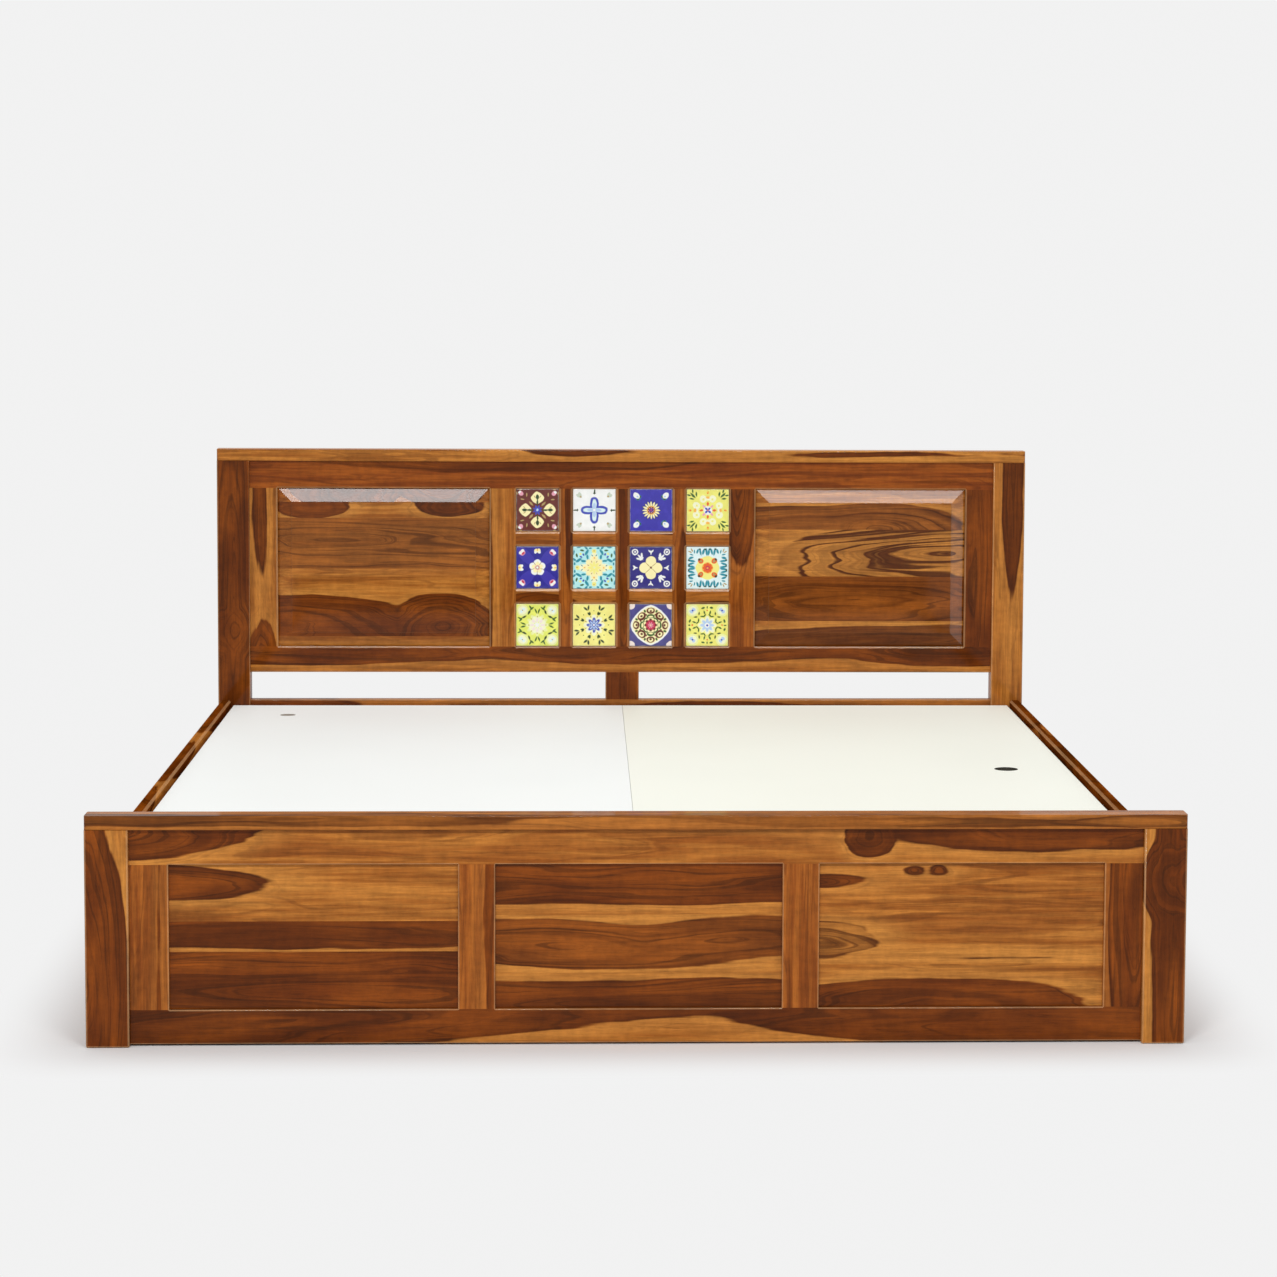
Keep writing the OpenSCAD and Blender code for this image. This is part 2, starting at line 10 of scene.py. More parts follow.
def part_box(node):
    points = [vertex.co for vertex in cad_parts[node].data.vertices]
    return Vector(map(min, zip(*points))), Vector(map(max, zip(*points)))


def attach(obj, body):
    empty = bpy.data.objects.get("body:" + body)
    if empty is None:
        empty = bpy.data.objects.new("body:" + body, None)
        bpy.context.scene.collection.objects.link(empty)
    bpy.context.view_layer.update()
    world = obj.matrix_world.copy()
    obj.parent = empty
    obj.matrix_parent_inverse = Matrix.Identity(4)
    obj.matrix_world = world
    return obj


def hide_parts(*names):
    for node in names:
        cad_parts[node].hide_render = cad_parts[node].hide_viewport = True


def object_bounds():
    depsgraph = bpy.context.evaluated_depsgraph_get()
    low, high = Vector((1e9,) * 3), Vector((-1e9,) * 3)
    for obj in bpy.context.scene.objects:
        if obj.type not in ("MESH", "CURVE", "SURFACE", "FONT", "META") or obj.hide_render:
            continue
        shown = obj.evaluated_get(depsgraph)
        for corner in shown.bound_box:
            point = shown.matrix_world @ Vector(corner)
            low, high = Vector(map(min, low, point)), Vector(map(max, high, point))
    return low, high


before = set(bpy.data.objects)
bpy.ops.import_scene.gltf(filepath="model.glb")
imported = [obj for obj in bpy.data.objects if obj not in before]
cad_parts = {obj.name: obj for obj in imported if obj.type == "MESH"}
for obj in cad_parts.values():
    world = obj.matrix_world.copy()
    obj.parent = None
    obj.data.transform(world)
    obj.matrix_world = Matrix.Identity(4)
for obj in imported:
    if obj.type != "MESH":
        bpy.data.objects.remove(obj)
cad_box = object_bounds()
scene = bpy.context.scene


# The camera: a little left of the middle of the bed, well back from its foot, set by the
# angles that its picture of the frame gives.
def added(name, data):
    """A new object in the scene."""
    thing = bpy.data.objects.new(name, data)
    scene.collection.objects.link(thing)
    return thing


camera_place = Vector((-0.1133, -6.5474, 1.3809))
yaw = 0.0398
pitch = 0.0849
roll = 0.0057
level = math.cos(pitch)
forward = Vector((math.sin(yaw) * level, math.cos(yaw) * level, -math.sin(pitch)))
right = Vector((math.cos(yaw), -math.sin(yaw), 0))
up = right.cross(forward)
across = math.cos(roll) * right + math.sin(roll) * up
upward = math.cos(roll) * up - math.sin(roll) * right
lens = bpy.data.cameras.new("camera")
lens.lens = 89.5
lens.sensor_width = 36
lens.shift_x = -0.0492
lens.shift_y = -0.0869
lens.clip_end = 200
camera = added("camera", lens)
camera_turn = Matrix((across, upward, -forward)).transposed()
camera.matrix_world = Matrix.Translation(camera_place) @ camera_turn.to_4x4()
scene.camera = camera
scene.view_settings.view_transform = "Standard"


# The floor and the light: a pale sweep that fades into an even pale backdrop, one soft
# key light high at the front left, softer ones beside it, and a wide one overhead.
class Value:
    """A value on its way through a material. Arithmetic on it adds Math nodes."""

    def __init__(self, finish, socket):
        self.finish = finish
        self.socket = socket

    def math(self, operation, *others):
        return self.finish.add("ShaderNodeMath", {"operation": operation}, [self, *others])

    def __add__(self, other):
        return self.math("ADD", other)

    __radd__ = __add__

    def __mul__(self, other):
        return self.math("MULTIPLY", other)

    __rmul__ = __mul__

    def __sub__(self, other):
        return self.math("SUBTRACT", other)

    def __rsub__(self, other):
        return self.finish.add("ShaderNodeMath", {"operation": "SUBTRACT"}, [other, self])

    def __truediv__(self, other):
        return self.math("DIVIDE", other)

    def __abs__(self):
        return self.math("ABSOLUTE")


class Finish:
    """The nodes of one material or one shape."""

    def __init__(self, name, tree=None):
        if tree is None:
            self.material = bpy.data.materials.new(name)
            self.material.use_nodes = True
            tree = self.material.node_tree
            tree.nodes.clear()
        self.tree = tree

    def add(self, kind, settings=None, inputs=(), output=0):
        """Any node, with its settings first and then the values or links of its sockets."""
        node = self.tree.nodes.new(kind)
        for key, setting in (settings or {}).items():
            setattr(node, key, setting)
        pairs = inputs.items() if isinstance(inputs, dict) else enumerate(inputs)
        for key, given in pairs:
            if isinstance(given, Value):
                self.tree.links.new(given.socket, node.inputs[key])
            else:
                node.inputs[key].default_value = given
        return Value(self, node.outputs[output]) if node.outputs else None

    def attribute(self, name):
        return self.add("ShaderNodeAttribute", {"attribute_name": name}, output="Vector")

    def object_point(self):
        return self.add("ShaderNodeTexCoord", output="Object")

    def parts(self, vector):
        split = self.add("ShaderNodeSeparateXYZ", inputs=[vector]).socket.node
        return [Value(self, socket) for socket in split.outputs]

    def sizes_given(self):
        """The named inputs of a geometry tree."""
        node = self.add("NodeGroupInput").socket.node
        return {socket.name: Value(self, socket) for socket in node.outputs}

    def vector(self, *parts):
        return self.add("ShaderNodeCombineXYZ", inputs=parts)

    def scaled(self, vector, *factors):
        return self.add("ShaderNodeVectorMath", {"operation": "MULTIPLY"}, [vector, factors])

    def noise(self, vector, detail=2.0, roughness=0.5):
        inputs = {"Vector": vector, "Scale": 1.0, "Detail": detail, "Roughness": roughness}
        return self.add("ShaderNodeTexNoise", inputs=inputs)

    def step(self, value, low, high):
        """0 below low and 1 above high, or the reverse where high is the lower one."""
        smooth = {"interpolation_type": "SMOOTHSTEP"}
        return self.add("ShaderNodeMapRange", smooth, [value, low, high])

    def mix(self, share, colour, other):
        a = colour if isinstance(colour, Value) else (*colour, 1)
        b = other if isinstance(other, Value) else (*other, 1)
        return self.add("ShaderNodeMix", {"data_type": "RGBA"}, {0: share, 6: a, 7: b}, output=2)

    def looked_at(self):
        """1 where the camera sees the surface, straight or in gloss, and 0 where it only
        gives light."""
        ray = self.add("ShaderNodeLightPath").socket.node
        straight, glossy, clear = (Value(self, ray.outputs["Is %s Ray" % kind])
                                   for kind in ("Camera", "Glossy", "Transmission"))
        return (straight + glossy + clear).math("MINIMUM", 1)

    def shine(self, colour, roughness, height=None, depth=0.0, **constants):
        """Ends the material in one glossy surface."""
        sockets = {"Base Color": colour, "Roughness": roughness, **constants}
        if height is not None:
            bump = {"Height": height, "Distance": depth, "Strength": 1.0}
            sockets["Normal"] = self.add("ShaderNodeBump", inputs=bump)
        surface = self.add("ShaderNodeBsdfPrincipled", inputs=sockets)
        self.add("ShaderNodeOutputMaterial", inputs=[surface])
        return self.material


backdrop = 0.885
ambient = 0.62
world = bpy.data.worlds.new("backdrop")
world.use_nodes = True
world.node_tree.nodes.clear()
room = Finish("room", world.node_tree)
strength = ambient + room.looked_at() * (backdrop - ambient)
glow = room.add("ShaderNodeBackground", inputs={"Color": (1, 1, 1, 1), "Strength": strength})
room.add("ShaderNodeOutputWorld", inputs=[glow])
scene.world = world

floor_tone = 0.82
floor_reach = 60
floor_drop = 0.0005
floor_fade = (0.0, 0.22)
floor_finish = Finish("pale_floor")
spot = floor_finish.parts(floor_finish.object_point())
beside = (abs(spot[0]) - cad_box[1].x).math("MAXIMUM", 0)
beyond = (abs(spot[1]) - cad_box[1].y).math("MAXIMUM", 0)
distance = (beside * beside + beyond * beyond).math("SQRT")
matt = floor_finish.add("ShaderNodeBsdfDiffuse", inputs=[(floor_tone, floor_tone, floor_tone, 1)])
even = floor_finish.add("ShaderNodeEmission", inputs=[(backdrop, backdrop, backdrop, 1), 1.0])
faded = floor_finish.step(distance, *floor_fade) * floor_finish.looked_at()
sweep = floor_finish.add("ShaderNodeMixShader", inputs=[faded, matt, even])
floor_finish.add("ShaderNodeOutputMaterial", inputs=[sweep])
floor_mesh = bpy.data.meshes.new("floor")
corners = [(x * floor_reach, y * floor_reach, -floor_drop)
           for x, y in ((-1, -1), (1, -1), (1, 1), (-1, 1))]
floor_mesh.from_pydata(corners, [], [(0, 1, 2, 3)])
floor_mesh.materials.append(floor_finish.material)
floor = added("floor", floor_mesh)


def soft_box(name, place, aim, width, height, radiance):
    """A rectangular lamp of even brightness, turned to face a point."""
    lamp = bpy.data.lights.new(name, "AREA")
    lamp.shape = "RECTANGLE"
    lamp.size = width
    lamp.size_y = height
    lamp.energy = radiance * math.pi * width * height
    holder = added(name, lamp)
    facing = (Vector(aim) - Vector(place)).to_track_quat("-Z", "Y")
    holder.matrix_world = Matrix.Translation(place) @ facing.to_matrix().to_4x4()


soft_box("key_left", (-0.95, -4.5, 3.0), (-0.3, 0.6, 0.6), 1.15, 0.55, 32.5)
soft_box("key_right", (1.12, -4.5, 3.0), (0.3, 0.6, 0.6), 1.2, 0.55, 23)
soft_box("overhead", (0, 0.75, 3.5), (0, 0.75, 0), 2.4, 0.2, 21.5)
soft_box("side_right", (2.04, -1.02, 0.37), (0.8, 1.03, 0.37), 0.31, 0.6, 4)
soft_box("side_left", (-4.4, -3.2, 1.2), (-0.5, 0.5, 0.5), 1.4, 2.2, 1.4)


# The timber: sheesham sawn with its pale sapwood left on, oiled and lacquered to a gloss.
# Each board carries the place of the dark hearts in it, so that its growth lines follow them.
straw = (0.60, 0.26, 0.052)
honey_light = (0.45, 0.168, 0.028)
honey_dark = (0.26, 0.078, 0.010)
honey_band = (0.23, 0.062, 0.008)
honey_line = (0.15, 0.042, 0.006)
amber_light = (0.30, 0.075, 0.008)
amber_dark = (0.18, 0.038, 0.004)
amber_line = (0.110, 0.023, 0.003)
heart_light = (0.235, 0.055, 0.004)
heart_dark = (0.145, 0.030, 0.002)
heart_band = (0.070, 0.0145, 0.001)
heart_line = (0.037, 0.0095, 0.001)
heart_streak = (0.022, 0.0085, 0.0015)
# Paler colour of the eased arrises: partly wear, partly a painted highlight
wear_and_highlight_tone = (0.60, 0.34, 0.16)
heart_join = 0.010
ring_reach = 0.012
bands_per_metre = 62
lines_per_metre = 230
grain_height = 0.00012


def lacquered_sheesham(name, gloss):
    wood = Finish(name)
    grain = wood.attribute("grain")
    along, across, _ = wood.parts(grain)
    radii = wood.parts(wood.attribute("heart_size"))
    redness, darkness, seed = wood.parts(wood.attribute("tone"))
    depth = None
    for radius, heart_name in zip(radii, ("heart_a", "heart_b", "heart_c")):
        length = wood.add("ShaderNodeVectorMath", {"operation": "LENGTH"},
                          [wood.attribute(heart_name)], "Value")
        inside = (length - 1) * radius
        depth = inside if depth is None else depth.math("SMOOTH_MIN", inside, heart_join)

    def drawn_out(lengthwise, crosswise, *detail):
        return wood.noise(wood.scaled(grain, lengthwise, crosswise, crosswise), *detail)

    wander = drawn_out(2.6, 20, 3.0) - 0.5
    drift = drawn_out(1.7, 15, 2.0) - 0.5
    fray = drawn_out(14, 120, 2.0) - 0.5
    edge = depth + wander * 0.030 + fray * 0.0045

    # Growth lines are level lines of the depth under the edge of the heart
    ring = depth.math("MINIMUM", ring_reach) + across * 0.3 + wander * 0.026 + drift * 0.062
    broad = wood.noise(wood.vector(ring * bands_per_metre, along * 1.1, seed), 2.0, 0.6)
    narrow = wood.noise(wood.vector(ring * lines_per_metre, along * 2.0, seed), 2.0, 0.6)
    streak = drawn_out(3.4, 75, 3.0, 0.62)
    hair = drawn_out(9.0, 170, 4.0, 0.72)
    figure = drawn_out(55, 38, 3.0, 0.6)
    cloud = drawn_out(4.0, 13, 2.0)
    pore = wood.step(drawn_out(45, 850, 1.0), 0.58, 0.72)
    wear_and_highlight = wood.parts(wood.attribute("arris"))[0]

    heart = wood.step(edge, 0.0014, -0.0014)
    rim = heart * wood.step(edge, -0.008, -0.0005)
    line = wood.step(narrow, 0.53, 0.64)
    flame = wood.step(abs(broad - 0.5), 0.10, 0.03)
    honey = wood.mix(wood.step(streak, 0.34, 0.66), honey_light, honey_dark)
    honey = wood.mix(wood.step(broad, 0.54, 0.70) * 0.6, honey, honey_band)
    honey = wood.mix(line * 0.5, honey, honey_line)
    honey = wood.mix(wood.step(edge, 0.028, 0.0) * 0.4, honey, straw)
    amber = wood.mix(wood.step(streak, 0.36, 0.64), amber_light, amber_dark)
    amber = wood.mix(line * 0.5, amber, amber_line)
    sap = wood.mix(redness, honey, amber)
    red_brown = wood.mix(wood.step(cloud, 0.36, 0.64), heart_light, heart_dark)
    pale_heart = wood.mix((darkness * 2).math("MINIMUM", 1), honey, red_brown)
    shadow = wood.step(broad, 0.42, 0.66) * (0.9 - darkness * 0.25)
    shadow = shadow + wood.step(cloud, 0.40, 0.62) * darkness * 0.35
    shadow = shadow * 0.75 + (darkness - 0.5).math("MAXIMUM", 0) * 0.55 + rim * 0.32
    pale_figure = (1 - darkness * 3).math("MAXIMUM", 0)
    shadow = shadow * (1 - pale_figure * 0.7) + flame * pale_figure * 0.9
    core = wood.mix(shadow.math("MINIMUM", 1), pale_heart, heart_band)
    core = wood.mix(line * (0.5 - pale_figure * 0.35), core, heart_line)
    core = wood.mix(wood.step(streak, 0.60, 0.76) * darkness * 0.5, core, heart_streak)
    colour = wood.mix(heart, sap, core)
    # Eased arrises are lightened: partly real wear of the lacquer, partly a painted highlight along the
    # edges
    colour = wood.mix(wear_and_highlight * (0.15 + streak * 0.45), colour, wear_and_highlight_tone)
    shade = (hair - 0.5) * 1.15 + (figure - 0.5) * 0.6 + 1.03 - pore * 0.18
    grey = wood.add("ShaderNodeCombineColor", inputs=[shade] * 3)
    colour = wood.add("ShaderNodeMix", {"data_type": "RGBA", "blend_type": "MULTIPLY"},
                      {0: 1.0, 6: colour, 7: grey}, output=2)
    roughness = 0.40 + (hair - 0.5) * 0.25
    height = hair * 0.5 + streak * 0.6 - pore * 0.5
    lacquer = {"Coat Weight": gloss, "Coat Roughness": 0.06, "Specular IOR Level": gloss * 0.2}
    return wood.shine(colour, roughness, height, grain_height, **lacquer)


sheesham = lacquered_sheesham("lacquered_sheesham", 0.19)
millimetre = 0.001
probe_reach = 0.0012
weld = 1e-6
flat_within = math.radians(0.3)
sharp_from = math.radians(60)
# Easing radius at which the paler arris, wear and painted highlight, is at full strength
full_wear_and_highlight = 0.002
round_strip = 0.65


def solid_tree(node):
    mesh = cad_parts[node].data
    return BVHTree.FromPolygons([v.co for v in mesh.vertices], [p.vertices for p in mesh.polygons])


solids = {node: (solid_tree(node), *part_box(node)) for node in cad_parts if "deck_panel" not in node}


def buried(point, node):
    """Whether a point lies inside any other CAD solid than the node's own."""
    for name, (tree, low, high) in solids.items():
        if name == node or any(not low[i] < point[i] < high[i] for i in range(3)):
            continue
        place, normal, _, _ = tree.find_nearest(point)
        if (point - place).dot(normal) < 0:
            return True
    return False


def sawn(node):
    """A copy of the CAD node with its doubles merged and its flat faces whole."""
    shape = bmesh.new()
    shape.from_mesh(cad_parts[node].data)
    bmesh.ops.remove_doubles(shape, verts=shape.verts, dist=weld)
    bmesh.ops.dissolve_limit(shape, angle_limit=flat_within, verts=shape.verts, edges=shape.edges)
    return shape


def cut_across(shape, axis, places):
    """Parts the faces at some places along an axis, with nothing removed."""
    normal = Vector([axis == i for i in range(3)])
    for place in places:
        geometry = shape.verts[:] + shape.edges[:] + shape.faces[:]
        bmesh.ops.bisect_plane(shape, geom=geometry, plane_co=normal * place, plane_no=normal,
                               dist=weld)


def ease(shape, node, radius, steps=3, shortest=0.004):
    """Rounds, or in one step chamfers, every arris that stays free once the frame is glued up."""
    free = []
    for edge in shape.edges:
        if not edge.is_manifold or edge.calc_length() < shortest:
            continue
        if edge.calc_face_angle_signed() < sharp_from:
            continue
        middle = (edge.verts[0].co + edge.verts[1].co) / 2
        a, b = (face.normal * probe_reach for face in edge.link_faces)
        if not buried(middle + a - b, node) and not buried(middle + b - a, node):
            free.append(edge)
    eased = bmesh.ops.bevel(shape, geom=free, offset=radius, offset_type="OFFSET", segments=steps,
                            profile=0.5, affect="EDGES", clamp_overlap=False)
    # The eased faces are marked so that the lacquer paints them paler: partly wear, partly a painted
    # highlight
    arris = shape.loops.layers.float.new("arris")
    for face in eased["faces"]:
        for loop in face.loops:
            loop[arris] = min(1.0, radius / full_wear_and_highlight)
    for face in shape.faces:
        longest = max(edge.calc_length() for edge in face.edges)
        face.smooth = steps > 1 and face.calc_area() / longest < radius * round_strip


no_heart = (Vector((0, 0, 5)), millimetre, millimetre, 0.0)


def lay_grain(shape, name, axes, planks):
    """Writes the grain and the hearts of each plank. Axes are along, across and depth.
    Planks go from the top down, each as its lower edge, redness, darkness and hearts, and
    a heart is its place along and up, half length and half width in millimetres, and its
    slope in degrees if it has one. Fewer than three are made up by specks far above."""
    layers = shape.loops.layers.float_vector
    names = ("grain", "heart_a", "heart_b", "heart_c", "heart_size", "tone")
    grain, *hearts, size, tone = [layers.new(layer) for layer in names]
    along, across, deep = axes
    chance = random.Random(name)
    front = min(v.co[deep] for v in shape.verts)
    for number, (edge, redness, darkness, marks) in enumerate(planks):
        seed = chance.uniform(1, 9)
        ellipsoids = []
        for x, z, length, width, *tilt in marks:
            centre = Vector((0, 0, z * millimetre))
            centre[1 - deep if deep < 2 else 0] = x * millimetre
            centre[deep] = front
            slope = math.tan(math.radians(tilt[0])) if tilt else 0.0
            ellipsoids.append((centre, length * millimetre, width * millimetre, slope))
        while len(ellipsoids) < len(hearts):
            ellipsoids.append(no_heart)
        above = planks[number - 1][0] if number else None
        for face in shape.faces:
            height = face.calc_center_median().z
            if (above is not None and height > above) or (edge is not None and height < edge):
                continue
            for loop in face.loops:
                place = loop.vert.co
                shift = Vector((seed, seed * 0.7, seed * 0.4))
                loop[grain] = Vector((place[along], place[across], place[deep])) + shift
                for layer, (centre, length, width, slope) in zip(hearts, ellipsoids):
                    offset = place - centre
                    rise = offset[across] - slope * offset[along]
                    thickness = width * 1.3 + 0.012
                    loop[layer] = Vector((offset[along] / length, rise / width, offset[deep] / thickness))
                loop[size] = Vector([width for _, _, width, _ in ellipsoids])
                loop[tone] = Vector((redness, darkness, seed))


def loose_parts(shape):
    """The points of each solid in a mesh that holds several."""
    seen = set()
    parts = []
    for start in shape.verts:
        if start in seen:
            continue
        seen.add(start)
        found = [start]
        for vertex in found:
            for edge in vertex.link_edges:
                other = edge.other_vert(vertex)
                if other not in seen:
                    seen.add(other)
                    found.append(other)
        parts.append([vertex.co.copy() for vertex in found])
    return parts


def ends_of(node, axis):
    """Where each solid of a CAD node begins and ends along an axis."""
    shape = sawn(node)
    places = [[round(point[axis], 5) for point in part] for part in loose_parts(shape)]
    shape.free()
    return {end for part in places for end in (min(part), max(part))}


def made_board(shape, name, *finishes):
    """The object made from a shape, with its finishes."""
    mesh = bpy.data.meshes.new(name)
    shape.to_mesh(mesh)
    shape.free()
    for finish in finishes:
        mesh.materials.append(finish)
    return added(name, mesh)


def dressed(node, axes, planks, meets=(), radius=0.0022, steps=3, finish=sheesham):
    """A board made from its CAD node: sawn, eased, grained, lacquered and put in its place."""
    shape = sawn(node)
    cut_across(shape, 2, [plank[0] for plank in planks[:-1]])
    ends = set().union(*(ends_of(other, axes[0]) for other in meets))
    cut_across(shape, axes[0], sorted(ends))
    ease(shape, node, radius, steps)
    lay_grain(shape, node, axes, planks)
    board = made_board(shape, node + "_board", finish)
    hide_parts(node)
    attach(board, "root")


def bevelled(node, axes, planks, meets=(), width=0.0035, finish=sheesham):
    """The same board with one flat chamfer on each free arris."""
    dressed(node, axes, planks, meets, width, steps=1, finish=finish)


# Which axis of the frame runs along a board, across its face and into it
LEVEL = (0, 2, 1)
UPRIGHT = (2, 0, 1)
SIDE_LEVEL = (1, 2, 0)
SIDE_UPRIGHT = (2, 1, 0)

# The headboard frame: posts, cap, rails and stiles, tenoned and glued, sanded and
# lacquered. Posts stand proud of the rails. Free arrises are rounded on the posts and
# the cap, and bevelled on the rest.
post_round = 0.003
head_uprights = ["head_stile_outer_left", "head_stile_outer_right", "head_stile_inner_left",
                 "head_stile_inner_right", "tile_muntins"]
dressed("head_post_left", UPRIGHT, [(None, 0.7, 0.9, [(-925, 520, 700, 60), (-918, 488, 110, 92)])],
        radius=post_round)
dressed("head_post_right", UPRIGHT, [(None, 0.15, 0.7, [(936, 900, 310, 25)])], radius=post_round)
dressed("head_cap", LEVEL, [(None, 0.0, 0.5, [(-130, 926, 110, 14), (600, 913, 260, 7)])])
bevelled("head_top_rail", LEVEL, [(None, 1.0, 0.7, [
    (-421, 868, 60, 7), (760, 846, 90, 8), (-300, 905, 500, 40)])], head_uprights)
bevelled("head_lower_rail", LEVEL, [(None, 0.25, 0.75, [
    (-700, 445, 520, 42), (100, 448, 700, 40), (800, 440, 330, 40)])],
    head_uprights + ["head_centre_post"])
bevelled("head_stile_outer_left", UPRIGHT, [(None, 0.2, 0.75, [
    (-863, 800, 155, 15), (-860, 420, 95, 35)])])
bevelled("head_stile_outer_right", UPRIGHT, [(None, 0.5, 0.7, [(850, 640, 500, 60)])])
bevelled("head_stile_inner_left", UPRIGHT, [(None, 0.25, 0.4, [(-330, 660, 400, 22)])],
         ["tile_bars"])
bevelled("head_stile_inner_right", UPRIGHT, [(None, 0.8, 0.75, [(285, 840, 190, 45)])],
         ["tile_bars"])

# The raised panels: planks glued edge to edge, with a wide bevel all round up to a small
# step. They float in the grooves of the frame and are polished a little more than the rest.
panel_round = 0.0006
polished_sheesham = lacquered_sheesham("polished_sheesham", 0.27)
dressed("head_panel_left", LEVEL, [
    (0.7945, 0.6, 0.7, [(-660, 850, 140, 90), (-430, 860, 120, 80)]),
    (0.7565, 0.0, 0.85, [(-742, 800, 98, 46), (-415, 800, 92, 40)]),
    (0.6350, 0.2, 0.35, [(-640, 702, 900, 88, -1.5)]),
    (0.4720, 0.0, 0.75, [(-800, 500, 330, 75), (-430, 500, 130, 77)]),
    (None, 0.3, 0.4, [(-600, 440, 300, 10)]),
], radius=panel_round, finish=polished_sheesham)
dressed("head_panel_right", LEVEL, [
    (0.7945, 0.0, 0.3, [(600, 892, 700, 28)]),
    (0.7310, 0.0, 0.38, [(420, 735, 260, 52), (620, 733, 215, 60)]),
    (0.6180, 0.0, 0.0, [(790, 674, 420, 84, 1)]),
    (0.5100, 0.5, 0.44, [(570, 565, 900, 120)]),
    (None, 0.0, 0.42, [(620, 462, 420, 40, 1)]),
], radius=panel_round, finish=polished_sheesham)

# The grid that holds the tiles: three upright bars and eight short ones, bevelled more
# than the rest, in front of a plywood board.
grid_bevel = 0.005
bevelled("tile_muntins", UPRIGHT, [(None, 0.85, 0.75, [
    (8, 700, 420, 15), (-128, 820, 190, 11), (142, 560, 150, 12)])], ["tile_bars"], grid_bevel)
bevelled("tile_bars", LEVEL, [
    (0.640, 0.6, 0.65, [(-60, 735, 200, 9), (140, 728, 90, 8)]),
    (None, 0.5, 0.7, [(-190, 560, 90, 22), (200, 545, 160, 12), (20, 556, 60, 9)]),
], width=grid_bevel)

# The twelve tiles: pressed clay, painted by hand in a few glaze colours and fired under a
# clear glaze. Each is a flat block with soft edges, set into the grid in front of its board.
def tree_with(name, sizes):
    """An empty geometry tree with one named input for each size."""
    tree = bpy.data.node_groups.new(name, "GeometryNodeTree")
    tree.interface.new_socket("Geometry", in_out="OUTPUT", socket_type="NodeSocketGeometry")
    for label, kind in sizes.items():
        tree.interface.new_socket(label, in_out="INPUT", socket_type="NodeSocket" + kind)
    return tree


def made_by(tree, name, sizes, places=None):
    """The plain mesh that a tree makes with these sizes, at the points of a mesh if it takes them."""
    piece = added(name, places or bpy.data.meshes.new(name + "_start"))
    modifier = piece.modifiers.new(tree.name, "NODES")
    modifier.node_group = tree
    for socket in tree.interface.items_tree:
        if socket.in_out == "INPUT" and socket.name in sizes:
            modifier[socket.identifier] = sizes[socket.name]
    made = bpy.data.meshes.new_from_object(piece.evaluated_get(bpy.context.evaluated_depsgraph_get()))
    piece.modifiers.clear()
    piece.data = made
    return piece


def fired_tile():
    tree = tree_with("fired_tile", {
        "Centre": "Vector", "Half side": "Float", "Half thickness": "Float", "Edge radius": "Float",
        "Crown": "Float", "Seed": "Float", "Material": "Material"})
    clay = Finish("fired_tile", tree)
    size = clay.sizes_given()
    cube = clay.add("GeometryNodeMeshCube", inputs={
        "Size": (2, 2, 2), "Vertices X": 17, "Vertices Y": 5, "Vertices Z": 17})
    # Points are gathered towards the edges, then held on a block with rounded edges
    held = []
    kept = []
    for part, half in zip(clay.parts(clay.add("GeometryNodeInputPosition")),
                          ("Half side", "Half thickness", "Half side")):
        short = 1 - abs(part)
        spread = part.math("SIGN") * (1 - short * short * short) * size[half]
        limit = size[half] - size["Edge radius"]
        inner = spread.math("MINIMUM", limit).math("MAXIMUM", limit * -1)
        held.append(spread - inner)
        kept.append(inner)
    out = clay.add("ShaderNodeVectorMath", {"operation": "NORMALIZE"}, [clay.vector(*held)])
    block = [inner + part * size["Edge radius"] for inner, part in zip(kept, clay.parts(out))]
    across = block[0] / size["Half side"]
    upward = block[2] / size["Half side"]
    face = clay.step(block[1], 0.0, size["Half thickness"] * -0.6)
    fall = (across.math("POWER", 4) + upward.math("POWER", 4)) * size["Crown"]
    place = clay.vector(across * 2.0 + size["Seed"], size["Seed"], upward * 2.0)
    dip = clay.noise(place) * size["Crown"] * 0.8
    block[1] = block[1] + (fall + dip) * face
    set_in = clay.add("ShaderNodeVectorMath", {"operation": "ADD"},
                      [clay.vector(*block), size["Centre"]])
    tile = clay.add("GeometryNodeSetPosition", inputs={"Geometry": cube, "Position": set_in})
    tile = clay.add("GeometryNodeSetShadeSmooth", inputs={"Geometry": tile})
    tile = clay.add("GeometryNodeRealizeInstances", inputs=[tile])
    tile = clay.add("GeometryNodeSetMaterial", inputs={"Geometry": tile, "Material": size["Material"]})
    clay.add("NodeGroupOutput", inputs=[tile])
    return tree


hand_slip = 0.075
brush_bleed = 0.035
pale_rim_span = (0.955, 1.0)
pale_rim_tone = (0.80, 0.77, 0.66)
glaze_height = 0.00025


